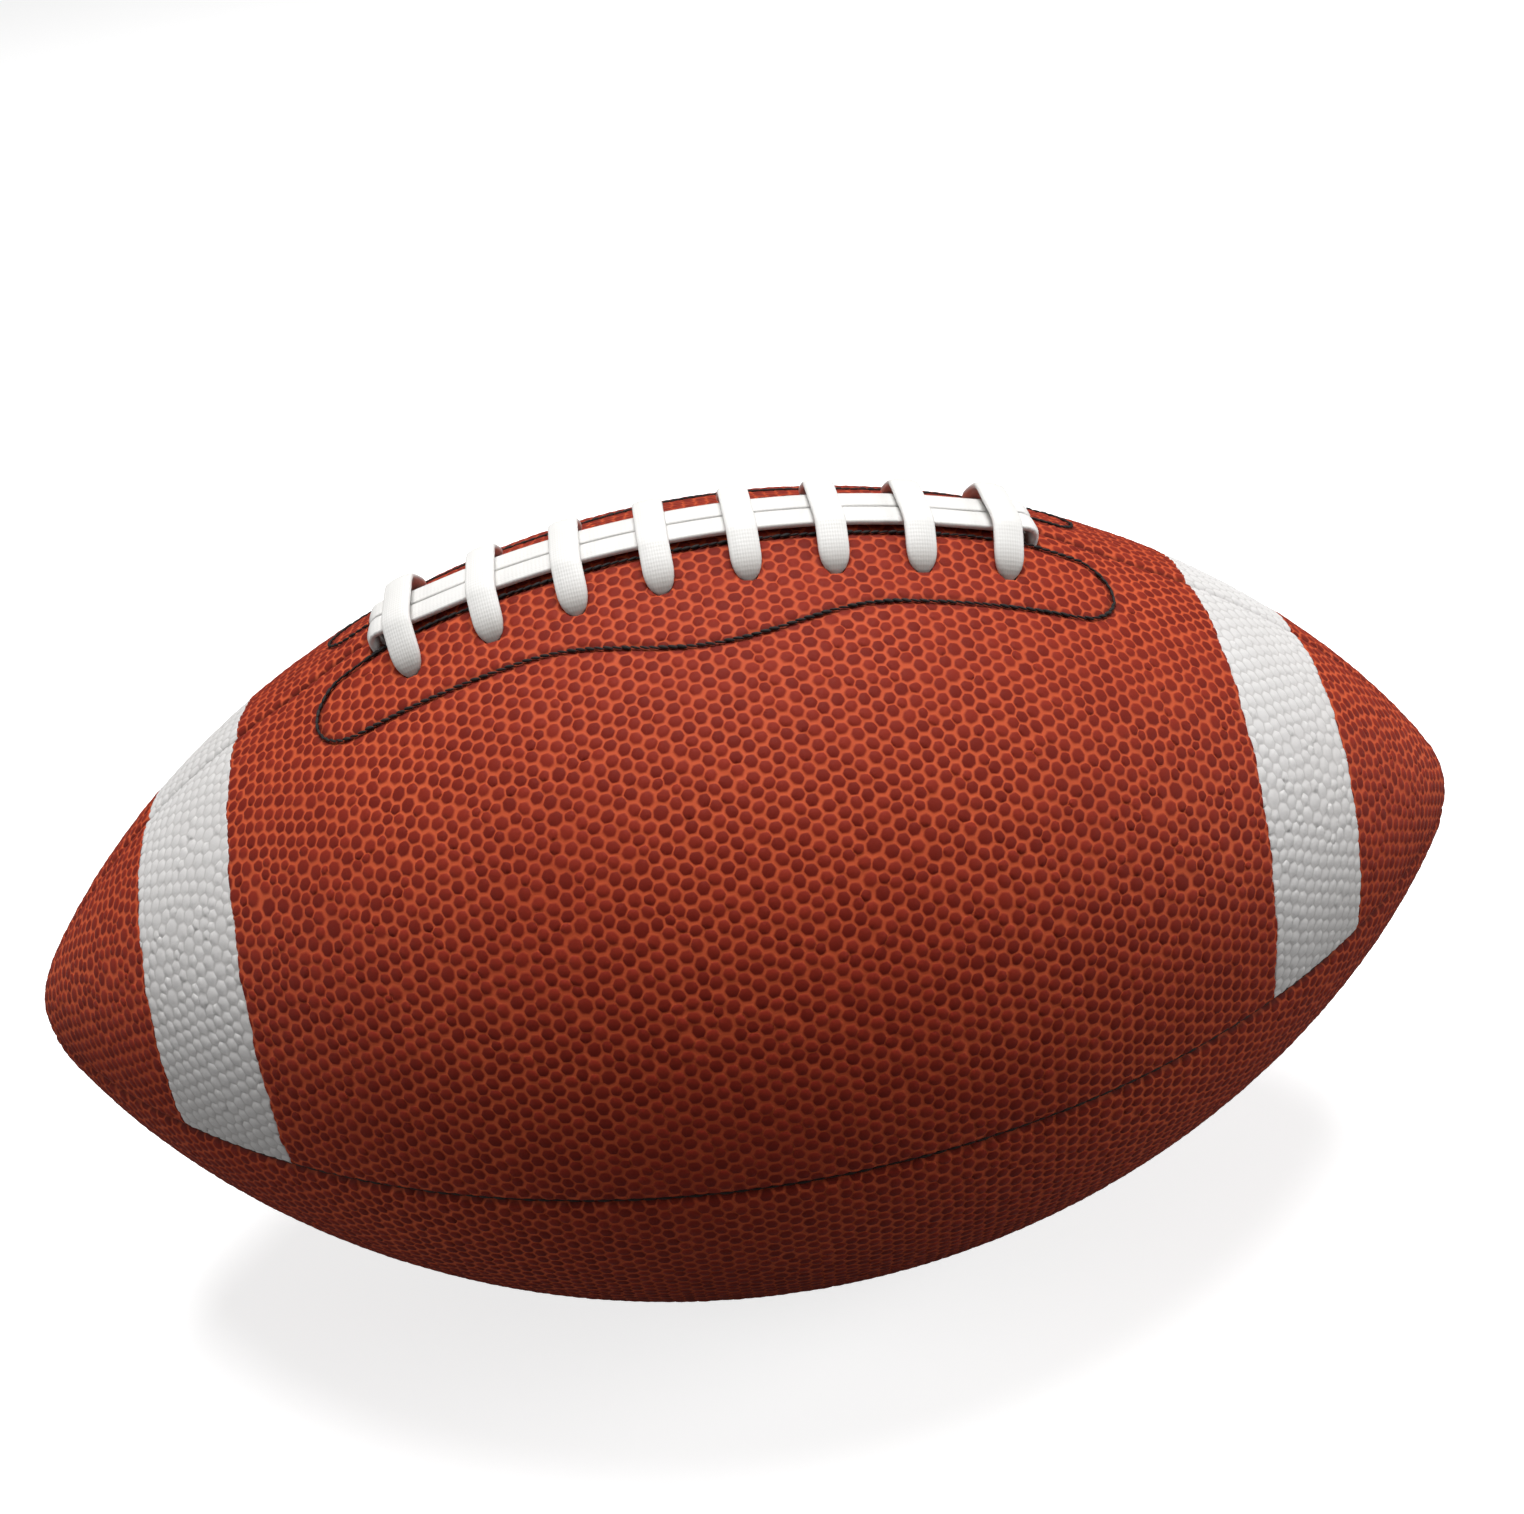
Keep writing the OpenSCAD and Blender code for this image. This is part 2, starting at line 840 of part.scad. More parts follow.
function unit(v) = v / norm(v);
function heading(i) = unit(route_points[min(i + 1, stop_count - 1)] - route_points[max(i - 1, 0)]);
// The width direction asked for at a stop, made square to the route there
function width_way(i) =
    let (
        p = lace_route[i],
        turn = turn_at(p[0], p[1]),
        lean = slope(p[0]),
        along = [cos(lean), sin(lean) * sin(turn), -sin(lean) * cos(turn)],
        across = [0, -cos(turn), -sin(turn)],
        asked = cos(p[3]) * along + sin(p[3]) * across,
        way = heading(i)
    )
    unit(asked - (asked * way) * way);

lace_points = [
    for (i = [0 : stop_count - 1])
        let (wide = width_way(i), thick = cross(heading(i), wide))
        for (q = lace_section)
            route_points[i] + q[0] * wide + q[1] * thick
];
lace_faces = concat(
    [[for (k = [0 : side_count - 1]) k]],
    [[for (k = [side_count - 1 : -1 : 0]) (stop_count - 1) * side_count + k]],
    [
        for (i = [0 : stop_count - 2])
            for (k = [0 : side_count - 1])
                for (half = [0, 1])
                    let (
                        a = i * side_count + k,
                        b = i * side_count + (k + 1) % side_count,
                        c = a + side_count,
                        d = b + side_count
                    )
                    half == 0 ? [a, d, b] : [a, c, d]
    ]
);

module flat_lace() {
    polyhedron(points = lace_points, faces = lace_faces, convexity = 10);
}

function route_length(i = 1) =
    i < stop_count ? norm(route_points[i] - route_points[i - 1]) + route_length(i + 1) : 0;

// Least gap of the lace to itself. The lace is cut into short blocks, each block's corners are
// measured against every other block near it, and stretches that follow each other are left out
block_count = 3;
near_share = 1.3;
neighbour_share = 2.4;
near_reach = near_share * lace_wide;
neighbour_reach = neighbour_share * lace_wide;
route_marks = [for (i = 0, mark = 0; i < stop_count; mark = mark + route_step(i), i = i + 1) mark];
function route_step(i) = i + 1 < stop_count ? norm(route_points[i + 1] - route_points[i]) : 0;
function mix(from, to, share) = from + (to - from) * share;
function block(i, share) =
    let (
        way = unit(route_points[i + 1] - route_points[i]),
        asked = mix(width_way(i), width_way(i + 1), share),
        wide = unit(asked - (asked * way) * way)
    )
    [
        mix(route_points[i], route_points[i + 1], share),
        wide,
        cross(way, wide),
        way,
        mix(route_marks[i], route_marks[i + 1], share),
        route_step(i) / (2 * block_count)
    ];
function block_corners(b) = [for (q = lace_section) b[0] + q[0] * b[1] + q[1] * b[2]];
function outside(length, half) = max(0, abs(length) - half);
function block_gap(b, p) =
    let (d = p - b[0])
    norm([outside(d * b[1], lace_wide / 2), outside(d * b[2], lace_thick / 2), outside(d * b[3], b[5])]);
function least_gap() =
    let (
        blocks = [
            for (i = [0 : stop_count - 2])
                for (k = [0 : block_count - 1])
                    block(i, (k + 1 / 2) / block_count)
        ]
    )
    min([
        for (a = blocks)
            let (corners = block_corners(a))
                for (b = blocks)
                    if (abs(a[4] - b[4]) > neighbour_reach && norm(a[0] - b[0]) < near_reach)
                        min([for (p = corners) block_gap(b, p)])
    ]);

panel_front_upper();
panel_back_upper();
panel_front_lower();
panel_back_lower();
lining_front_upper();
lining_back_upper();
lining_front_lower();
lining_back_lower();
stripe_front_left();
stripe_front_right();
stripe_back_left();
stripe_back_right();
lace_facing_front();
lace_facing_back();
facing_stitching_front();
facing_stitching_back();
seam_thread_front();
seam_thread_back();
seam_thread_bottom();
seam_thread_top_left();
seam_thread_top_right();
lace();
lace_tongue();
bladder();
valve_housing();
valve_core();
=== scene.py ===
import math

import bmesh
import bpy
import numpy as np
from mathutils import Matrix, Vector
from mathutils.geometry import delaunay_2d_cdt


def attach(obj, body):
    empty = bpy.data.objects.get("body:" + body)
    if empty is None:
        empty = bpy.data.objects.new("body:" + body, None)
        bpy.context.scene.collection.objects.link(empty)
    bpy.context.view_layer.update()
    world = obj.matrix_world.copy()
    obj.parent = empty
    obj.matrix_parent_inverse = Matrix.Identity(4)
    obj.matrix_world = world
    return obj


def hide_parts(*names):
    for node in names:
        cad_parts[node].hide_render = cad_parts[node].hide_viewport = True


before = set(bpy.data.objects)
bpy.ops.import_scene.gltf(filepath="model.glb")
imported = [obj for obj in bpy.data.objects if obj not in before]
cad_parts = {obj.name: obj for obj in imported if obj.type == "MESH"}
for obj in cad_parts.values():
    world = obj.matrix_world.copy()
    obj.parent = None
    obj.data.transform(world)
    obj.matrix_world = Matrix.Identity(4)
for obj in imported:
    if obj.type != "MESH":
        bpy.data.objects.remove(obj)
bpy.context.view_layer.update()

# Sizes are in millimetres, measured from the middle of the ball, as in the part's source
MM = 0.001
HALF_LENGTH = 142.0
HALF_WIDTH = 79.0
NOSE_RADIUS = 19.0
NOSE_X = HALF_LENGTH - NOSE_RADIUS
BELLY_RADIUS = (NOSE_X**2 + HALF_WIDTH**2 - NOSE_RADIUS**2) / (2 * (HALF_WIDTH - NOSE_RADIUS))
BELLY_DROP = BELLY_RADIUS - HALF_WIDTH
JOIN_SLOPE = math.atan2(NOSE_X, BELLY_DROP)
JOIN_X = BELLY_RADIUS * math.sin(JOIN_SLOPE)
BELLY_RUN = BELLY_RADIUS * JOIN_SLOPE
HALF_RUN = BELLY_RUN + NOSE_RADIUS * (math.pi / 2 - JOIN_SLOPE)

# Leather
LEATHER_THICK = 2.0
EDGE_ROLL = 1.4
ROLL_MIDDLE = EDGE_ROLL * 0.98
SEAM_GAP = 0.02
SEAM_CUTS = [SEAM_GAP, 0.3, 0.65, 1.1, 1.7]
SEAM_SINK = 0.35
SEAM_SINK_REACH = 3.5
SEAM_CALM = 0.3
SEAM_CALM_GAPS = (0.2, 1.4)
PUCKER_DEEP = 0.26
PUCKER_PITCH = 2.6
PUCKER_REACH = 1.2
PEBBLE_PITCH = 2.5
PEBBLE_HIGH = 0.28
COAT_HIGH = 0.2
DOT_SHARE = 0.7
PEBBLE_UNEVEN = 0.35
PEBBLE_CROWN = 0.22
POLE_LEFT_OPEN = 0.6

# Pebbles: shares of their pitch, and of a pebble's reach
SCATTER_SHARE = 0.13
NUDGE_SHARE = 0.065
NUDGE_MOST = 0.14
MARGIN_SHARE = 2.2
MARGIN_MOST = 0.8
FREE_MARGIN = 0.6
FREE_END = 1.2
LONGEST_SIDE_SHARE = 2.4
RELAXATIONS = 10
STRETCH_SHARE = 0.08
WIDEST_SHARE = 0.84
CELL_SHARE, ROUND_SHARE = 0.3, 0.7

# Grids of the plain faces and how far they stay clear, and the reach round a lace hole
COAT_GRID = 5
BACK_GRID = 9
GRID_END = 3
GRID_SIDE = 2
GRID_SEAM = 1.5
GRID_THINNEST = 4
HOLE_ZONE = 8
HOLE_CLEAR = 4.5
CUT_ZONE = 3

# Stripes
STRIPE_START = 88.0
STRIPE_WIDE = 25.4
STRIPE_SLOPE = math.asin(STRIPE_START / BELLY_RADIUS) + STRIPE_WIDE / BELLY_RADIUS
STRIPE_END = BELLY_RADIUS * math.sin(STRIPE_SLOPE)
COAT_THICK = 0.3
STRIPE_WAVE = 0.22
SLOW_WAVES, FAST_WAVES, FAST_SHARE = 23, 57, 0.6

# Lacing
BAR_COUNT = 8
BAR_PITCH = 14.6
LAST_BAR = BAR_PITCH * (BAR_COUNT - 1) / 2
HOLE_SIDE = 14.2
LACE_WIDE = 5.0
LACE_THICK = 1.4
LACE_FULL = 0.12
LACE_GAP = 0.5
LACE_CLEAR = 0.4
LACE_REST = 3.0
LACE_BEND = 1.4
STRAND_REACH = 4.6
STRAND_BEND = 1.7
STRAND_RISE = 0.8
LACE_TAIL = 11.0
RIB_DEPTH = 0.045
RIB_PITCH = 1.25
CASING_DEPTH = 4.6
UNDER_HIGH = -(CASING_DEPTH + LACE_GAP) - LACE_THICK / 2
TURN_DEPTH = UNDER_HIGH + LACE_BEND
STRAND_SIDE = (LACE_WIDE + LACE_GAP) / 2
STRAND_HIGH = LACE_REST + LACE_THICK / 2
BAR_HIGH = STRAND_HIGH + LACE_THICK + LACE_GAP
BEND_X = LAST_BAR + STRAND_REACH
MOUTH_START = BEND_X - LACE_THICK / 2 - LACE_CLEAR
MOUTH_END = BEND_X + STRAND_BEND + LACE_THICK / 2 + LACE_CLEAR
MOUTH_MID = (MOUTH_START + MOUTH_END) / 2
MOUTH_HALF = STRAND_SIDE + LACE_WIDE / 2 + LACE_CLEAR

# The leather stands up in a low ridge below the lacing, and is drawn in at the holes
RIDGE_HIGH = 2.8
RIDGE_REACH = 14.0
RIDGE_FLAT = 48.0
RIDGE_END = 80.0
DIMPLE_DEEP = 0.5
DIMPLE_REACH = 1.8
HOLE_HALF_LONG = 1.55
HOLE_HALF_WIDE = 0.95
TIP_SHARE = 0.42
TIP_LONG = 4.2

# Facing stitching
FACING_REACH = 69.5
FACING_WAIST = 21.8
FACING_BULGE = 6.0
BULGE_LENGTH = 62.0
TIP_RADIUS = 8.0
TIP_SWEEP = 150
SIDE_STEPS, TIP_STEPS, FINE_STEPS = 24, 8, 12
INNER_LINE = 6.05
STITCH_PITCH = 1.55
STITCH_OVERLAP = 1.2
THREAD_THICK = 0.54
THREAD_HIGH = 0.2
THREAD_TWIST = 0.45
THREAD_UNEVEN = 0.28
STITCH_ZONE = 8
FAR_OFF = 99.0
GROOVE_DEEP = 0.3
GROOVE_REACH = 0.8
GROOVE_CALM = 0.85
GROOVE_CALM_REACH = 0.9

# Sewing in the seams
SEAM_THREAD_DEPTH = 0.95
SEAM_THREAD_THICK = 0.6
SEAM_OVERLAP = 1.04
SEAM_STEPS = 600
SLIT_CLEAR = 0.6
THREAD_END = HALF_RUN - 3.0


def outline(run):
    """Place along the ball, radius and slope at a distance from the middle along the outline."""
    far = np.abs(run)
    belly = far <= BELLY_RUN
    slope = np.where(belly, far / BELLY_RADIUS, JOIN_SLOPE + (far - BELLY_RUN) / NOSE_RADIUS)
    x = np.where(belly, BELLY_RADIUS * np.sin(slope), NOSE_X + NOSE_RADIUS * np.sin(slope))
    radius = np.where(
        belly, BELLY_RADIUS * np.cos(slope) - BELLY_DROP, NOSE_RADIUS * np.cos(slope)
    )
    return x * np.sign(run), radius, slope * np.sign(run)


def run_at(x):
    """Distance along the outline at a place along the ball."""
    far = np.abs(x)
    on_belly = np.arcsin(np.clip(far / BELLY_RADIUS, 0, 1)) * BELLY_RADIUS
    rise = np.arcsin(np.clip((far - NOSE_X) / NOSE_RADIUS, -1, 1))
    on_nose = BELLY_RUN + (rise - JOIN_SLOPE) * NOSE_RADIUS
    return np.where(far <= JOIN_X, on_belly, on_nose) * np.sign(x)


def out_of_ball(slope, turn):
    """Direction out of the leather."""
    return np.stack(
        [np.sin(slope) + 0 * turn, -np.cos(slope) * np.sin(turn), np.cos(slope) * np.cos(turn)], -1
    )


def raised(x, radius, slope, turn, high):
    """A point above a place on the leather."""
    reach = radius + high * np.cos(slope)
    return np.stack(
        [x + high * np.sin(slope), -reach * np.sin(turn), reach * np.cos(turn)], -1
    )


def on_ball(run, turn, high):
    """A point by its distance along the outline, its turn from the top seam and its height."""
    x, radius, slope = outline(run)
    return raised(x, radius, slope, turn, high)


def belly_at(x, side):
    """Radius, slope and turn from the top seam at a place along the belly and off the seam."""
    radius = np.sqrt(BELLY_RADIUS**2 - x**2) - BELLY_DROP
    return radius, np.arcsin(x / BELLY_RADIUS), side / radius


def place(x, side, high):
    """The source's way to give a point: along the ball, off the top seam, above the leather."""
    x, side, high = (np.asarray(v, float) for v in (x, side, high))
    radius, slope, turn = belly_at(x, side)
    return raised(x, radius, slope, turn, high)


def place_axes(x, side):
    """Directions along the ball, across it and out of it at a place on the leather."""
    _, slope, turn = belly_at(np.asarray(x, float), np.asarray(side, float))
    flat = np.zeros_like(slope * turn)
    along = np.stack(
        [np.cos(slope) + flat, np.sin(slope) * np.sin(turn), -np.sin(slope) * np.cos(turn)], -1
    )
    across = np.stack([flat, -np.cos(turn) + flat, -np.sin(turn) + flat], -1)
    return along, across, out_of_ball(slope, turn)


# A map of the ball that keeps shapes, so that pebbles stay round from the belly to the noses
MAP_END = 0.25
MAP_POINTS = 12001
_runs = np.linspace(-(HALF_RUN - MAP_END), HALF_RUN - MAP_END, MAP_POINTS)
_rate = 1 / outline(_runs)[1]
_map = np.concatenate([[0], np.cumsum((_rate[1:] + _rate[:-1]) / 2 * np.diff(_runs))])
_map -= _map[len(_map) // 2]


def map_of(run):
    return np.interp(run, _runs, _map)


def run_of(mapped):
    return np.interp(mapped, _map, _runs)


def smooth_step(low, high, value):
    share = np.clip((value - low) / (high - low), 0, 1)
    return share * share * (3 - 2 * share)


def ridge(x, side):
    """Height of the ridge below the lacing."""
    fade = 1 - smooth_step(RIDGE_FLAT, RIDGE_END, np.abs(x))
    return RIDGE_HIGH * fade * np.exp(-((side / RIDGE_REACH) ** 2))


def triangles_over(flat):
    found = delaunay_2d_cdt([Vector(p) for p in flat.tolist()], [], [], 0, 1e-9, False)
    return np.array([list(v) for v in found[0]]), np.array(found[2])


def pebble_centres(seed):
    """Centres of the pebbles of one panel and its margin, on the map, with their triangles."""
    rng = np.random.default_rng(seed)
    end = HALF_RUN - POLE_LEFT_OPEN
    rows = round(2 * end / (PEBBLE_PITCH * math.sqrt(3) / 2))
    spread = SCATTER_SHARE * PEBBLE_PITCH
    margin = MARGIN_SHARE * PEBBLE_PITCH
    found = []
    for k in range(rows + 1):
        run = -end + 2 * end * k / rows
        radius = float(outline(run)[1])
        edge = min(margin / radius, MARGIN_MOST)
        span = math.pi / 2 + 2 * edge
        count = max(round(span * radius / PEBBLE_PITCH), 3)
        # Every other row is shifted by half a pebble
        turn = -edge + (np.arange(count) + 0.25 + 0.5 * (k % 2)) / count * span
        runs = np.clip(run + rng.normal(0, spread, count), -end, end)
        found.append(np.stack([map_of(runs), turn + rng.normal(0, spread, count) / radius], -1))
    centres = np.vstack(found)
    for _ in range(RELAXATIONS):
        centres, faces = triangles_over(centres)
        middles = centres[faces].mean(1)
        total, share = np.zeros_like(centres), np.zeros(len(centres))
        for corner in range(3):
            np.add.at(total, faces[:, corner], middles)
            np.add.at(share, faces[:, corner], 1)
        runs = run_of(centres[:, 0])
        radius = outline(runs)[1]
        edge = np.minimum(margin / radius, MARGIN_MOST)
        free = centres[:, 1] > -FREE_MARGIN * edge
        free &= centres[:, 1] < math.pi / 2 + FREE_MARGIN * edge
        free &= np.abs(runs) < end - FREE_END * PEBBLE_PITCH
        moved = total / np.maximum(share, 1)[:, None]
        centres = np.where(free[:, None], moved, centres)
    nudge = rng.normal(0, NUDGE_SHARE * PEBBLE_PITCH, centres.shape) / radius[:, None]
    nudge = np.clip(nudge, -NUDGE_MOST, NUDGE_MOST)
    centres = np.where(free[:, None], centres + nudge, centres)
    centres, faces = triangles_over(centres)
    radius = outline(run_of(centres[:, 0]))[1]
    sides = centres[faces] - centres[np.roll(faces, 1, 1)]
    length = np.linalg.norm(sides, axis=2) * radius[faces].mean(1)[:, None]
    return centres, faces[(length < LONGEST_SIDE_SHARE * PEBBLE_PITCH).all(1)]


class Skin:
    """Triangles on the ball's face: points at no height, and what each knows of its pebble."""

    def __init__(self, points, known, faces):
        self.points, self.known, self.faces = points, known, faces

    def middles(self):
        return self.points[self.faces].mean(1)

    def keep(self, wanted):
        self.faces = self.faces[wanted]

    def cut(self, chosen, planes):
        """Splits the chosen faces where the planes, each a point and a direction, cross them."""
        rim = border_of(self.faces[chosen])
        used, local = np.unique(self.faces[chosen], return_inverse=True)
        mesh = bpy.data.meshes.new("cut")
        mesh.from_pydata(self.points[used].tolist(), [], local.reshape(-1, 3).tolist())
        for k, name in enumerate(KNOWN):
            add_float(mesh, name, self.known[used, k])
        work = bmesh.new()
        work.from_mesh(mesh)
        for point, way in planes:
            parts = work.verts[:] + work.edges[:] + work.faces[:]
            bmesh.ops.bisect_plane(work, geom=parts, dist=1e-4, plane_co=point, plane_no=way)
        bmesh.ops.triangulate(work, faces=work.faces[:])
        work.to_mesh(mesh)
        work.free()
        total = len(mesh.vertices)
        points = np.empty(total * 3, np.float32)
        mesh.vertices.foreach_get("co", points)
        known = np.empty((total, len(KNOWN)), np.float32)
        for k, name in enumerate(KNOWN):
            column = np.empty(total, np.float32)
            mesh.attributes[name].data.foreach_get("value", column)
            known[:, k] = column
        faces = np.empty(len(mesh.polygons) * 3, np.int32)
        mesh.loops.foreach_get("vertex_index", faces)
        bpy.data.meshes.remove(mesh)
        old = len(used)
        index = np.concatenate([used, len(self.points) + np.arange(total - old)])
        made = index[faces.reshape(-1, 3)]
        fresh = np.unique(border_of(made))
        fresh = fresh[fresh >= len(self.points)]
        self.points = np.vstack([self.points, points.reshape(-1, 3)[old:]])
        self.known = np.vstack([self.known, known[old:]])
        self.faces = np.vstack([self.split_beside(self.faces[~chosen], rim, fresh), made])

    def split_beside(self, faces, rim, fresh):
        """Splits the faces beside a cut region at the new vertices on the region's rim."""
        start, way = self.points[rim[:, 0]], self.points[rim[:, 1]] - self.points[rim[:, 0]]
        found = {}
        for vertex in fresh.tolist():
            share = ((self.points[vertex] - start) * way).sum(1) / (way * way).sum(1)
            share = np.clip(share, 0, 1)
            off = np.linalg.norm(self.points[vertex] - start - share[:, None] * way, axis=1)
            k = int(off.argmin())
            found.setdefault(k, []).append((float(share[k]), vertex))
        near = np.isin(faces, rim).any(1)
        loose = {}
        for face in faces[near].tolist():
            for k in range(3):
                loose[face[k], face[(k + 1) % 3]] = tuple(face[k:] + face[:k])
        for k, chain in found.items():
            a, b = (int(v) for v in rim[k])
            face = loose.get((b, a))
            if face is None:
                continue
            for turn in range(3):
                loose.pop((face[turn], face[(turn + 1) % 3]), None)
            line = [b] + [v for _, v in sorted(chain, reverse=True)] + [a]
            for first, second in zip(line[:-1], line[1:]):
                piece = (first, second, face[2])
                for turn in range(3):
                    loose[piece[turn], piece[(turn + 1) % 3]] = piece[turn:] + piece[:turn]
        whole = {min(f[k:] + f[:k] for k in range(3)) for f in loose.values()}
        return np.vstack([faces[~near], np.array(sorted(whole), int).reshape(-1, 3)])


KNOWN = ["dot", "crown", "tone"]
NO_PEBBLE = (0.0, 0.0, 0.5)


def pebbled_skin(seed):
    """The pebbles of the front upper quarter: a raised dot in each cell, valleys between cells."""
    centres, faces = pebble_centres(seed)
    rng = np.random.default_rng(seed + 100)
    count, total = len(centres), len(faces)
    ways = np.stack([faces, np.roll(faces, -1, 1)], -1).reshape(-1, 2)
    edges, edge_of = np.unique(np.sort(ways, 1), axis=0, return_inverse=True)
    outer = np.vstack([centres, centres[faces].mean(1), centres[edges].mean(1)])
    # Towards each neighbour a pebble has one sector, between the middles of two triangles
    keys, back = edge_keys(ways, count), edge_keys(ways[:, ::-1], count)
    order = np.argsort(keys)
    spot = np.minimum(np.searchsorted(keys[order], back), len(keys) - 1)
    twin = order[spot]
    inside = np.flatnonzero(keys[twin] == back)
    owner = ways[inside, 0]
    left, right = count + inside // 3, count + twin[inside] // 3
    towards = np.stack([left, count + total + edge_of.reshape(-1)[inside], right], -1)
    ring_keys = owner[:, None].astype(np.int64) * len(outer) + towards
    ring_keys, ring_of = np.unique(ring_keys, return_inverse=True)
    ring_of = ring_of.reshape(-1, 3) + len(outer)
    ring_owner, ring_outer = ring_keys // len(outer), ring_keys % len(outer)
    arm = outer[ring_outer] - centres[ring_owner]
    length = np.linalg.norm(arm, axis=1)
    whole, parts = np.zeros(count), np.zeros(count)
    np.add.at(whole, ring_owner, length)
    np.add.at(parts, ring_owner, 1)
    mean = (whole / np.maximum(parts, 1))[ring_owner]
    tone = rng.random(count)
    # Rounder than its cell, and stretched a little to one side
    lean = rng.random(count)[ring_owner] * 2 * np.pi
    stretch = 1 + STRETCH_SHARE * np.cos(2 * (np.arctan2(arm[:, 1], arm[:, 0]) - lean))
    share = DOT_SHARE * stretch * (CELL_SHARE + ROUND_SHARE * mean / length)
    share = np.minimum(share, WIDEST_SHARE)
    ring = centres[ring_owner] + arm * share[:, None]
    flat = np.vstack([outer, ring])
    known = np.tile(NO_PEBBLE, (len(flat), 1))
    known[:count] = np.stack([np.ones(count), np.ones(count), tone], -1)
    known[len(outer):, 0] = 1
    known[len(outer):, 2] = tone[ring_owner]
    a, b, c = ring_of.T
    made = [(left, right, b), (left, b, a), (right, c, b), (a, b, owner), (b, c, owner)]
    runs = run_of(flat[:, 0])
    skin = Skin(on_ball(runs, flat[:, 1], 0.0), known, np.vstack([np.stack(m, -1) for m in made]))
    near = np.abs(skin.points[skin.faces]).min(1)
    chosen = (near[:, 1] < CUT_ZONE) | (near[:, 2] < CUT_ZONE)
    planes = [((0, -gap, 0), (0, 1, 0)) for gap in SEAM_CUTS]
    planes += [((0, 0, gap), (0, 0, 1)) for gap in SEAM_CUTS]
    skin.cut(chosen, planes)
    at = skin.middles()
    skin.keep((at[:, 1] < -SEAM_GAP) & (at[:, 2] > SEAM_GAP))
    return skin


def slot_walls(x, side, half_long, half_wide, corner):
    """Planes round a slot, as a point and an outward direction, and its middle."""
    along, across, _ = place_axes(x, side)
    middle = place(x, side, 0)
    walls = [(middle + along * half_long * s, along * s) for s in (-1, 1)]
    walls += [(middle + across * half_wide * s, across * s) for s in (-1, 1)]
    if corner:
        for s in (-1, 1):
            for t in (-1, 1):
                way = (along * s + across * t) / math.sqrt(2)
                end = middle + along * s * (half_long - half_wide)
                walls.append((end + way * half_wide, way))
    return middle, walls


LACE_HOLES = [
    slot_walls(BAR_PITCH * i - LAST_BAR, HOLE_SIDE, HOLE_HALF_LONG, HOLE_HALF_WIDE, True)
    for i in range(BAR_COUNT)
]
_mouth_long = (MOUTH_END - MOUTH_START) / 2 / math.cos(math.asin(MOUTH_MID / BELLY_RADIUS))
LACE_HOLES += [slot_walls(s * MOUTH_MID, 0, _mouth_long, MOUTH_HALF, False) for s in (-1, 1)]


def in_lace_hole(points):
    inside = np.zeros(len(points), bool)
    for middle, walls in LACE_HOLES:
        here = np.linalg.norm(points - middle, axis=1) < HOLE_ZONE
        for point, way in walls:
            here &= (points - point) @ way < 0
        inside |= here
    return inside


def cut_lace_holes(skin):
    for middle, walls in LACE_HOLES:
        chosen = np.linalg.norm(skin.middles() - middle, axis=1) < HOLE_ZONE
        skin.cut(chosen, [(Vector(p), Vector(w)) for p, w in walls])
    skin.keep(~in_lace_hole(skin.middles()))


def turn_of(points):
    return np.arctan2(-points[:, 1], points[:, 2])


def stripe_wave(points):
    """How far a stripe's edge strays from its plane, so that the coat's edge isn't ruled."""
    turn = turn_of(points)
    wave = np.sin(SLOW_WAVES * turn) + FAST_SHARE * np.sin(FAST_WAVES * turn + 1)
    return STRIPE_WAVE * wave / (1 + FAST_SHARE)


def cut_stripes(skin):
    """Splits the skin along the stripes' edges and tells which faces are on a stripe."""
    wave = stripe_wave(skin.points)
    skin.points[:, 0] += wave
    for x in (-STRIPE_START, -STRIPE_END, STRIPE_START, STRIPE_END):
        near = np.abs(skin.points[skin.faces][:, :, 0] - x).min(1) < CUT_ZONE
        skin.cut(near, [((x, 0, 0), (1, 0, 0))])
    far = skin.middles()[:, 0]
    skin.points[:, 0] -= stripe_wave(skin.points)
    return [(s * far > STRIPE_START) & (s * far < STRIPE_END) for s in (-1, 1)]


def facing_loop():
    """Line of the facing stitching as places along the ball and distances from the seam."""
    tip_x, tip_side = FACING_REACH - TIP_RADIUS, FACING_WAIST - TIP_RADIUS
    loop = []
    for i in range(SIDE_STEPS + 1):
        x = tip_x * (2 * i / SIDE_STEPS - 1)
        swell = FACING_BULGE * (1 + math.cos(2 * math.pi * x / BULGE_LENGTH)) / 2
        loop.append((x, FACING_WAIST + (swell if abs(x) < BULGE_LENGTH / 2 else 0)))
    tip = []
    for i in range(1, TIP_STEPS + 1):
        angle = math.radians(90 - TIP_SWEEP * i / TIP_STEPS)
        tip.append((tip_x + TIP_RADIUS * math.cos(angle), tip_side + TIP_RADIUS * math.sin(angle)))
    loop += tip + [(BEND_X, INNER_LINE), (-BEND_X, INNER_LINE)]
    return np.array(loop + [(-x, side) for x, side in reversed(tip)])


STITCH_LOOP = facing_loop()


def beside_seam(points):
    """Place along the ball and distance from the top seam, along the leather."""
    return np.stack([points[:, 0], turn_of(points) * outline(run_at(points[:, 0]))[1]], -1)


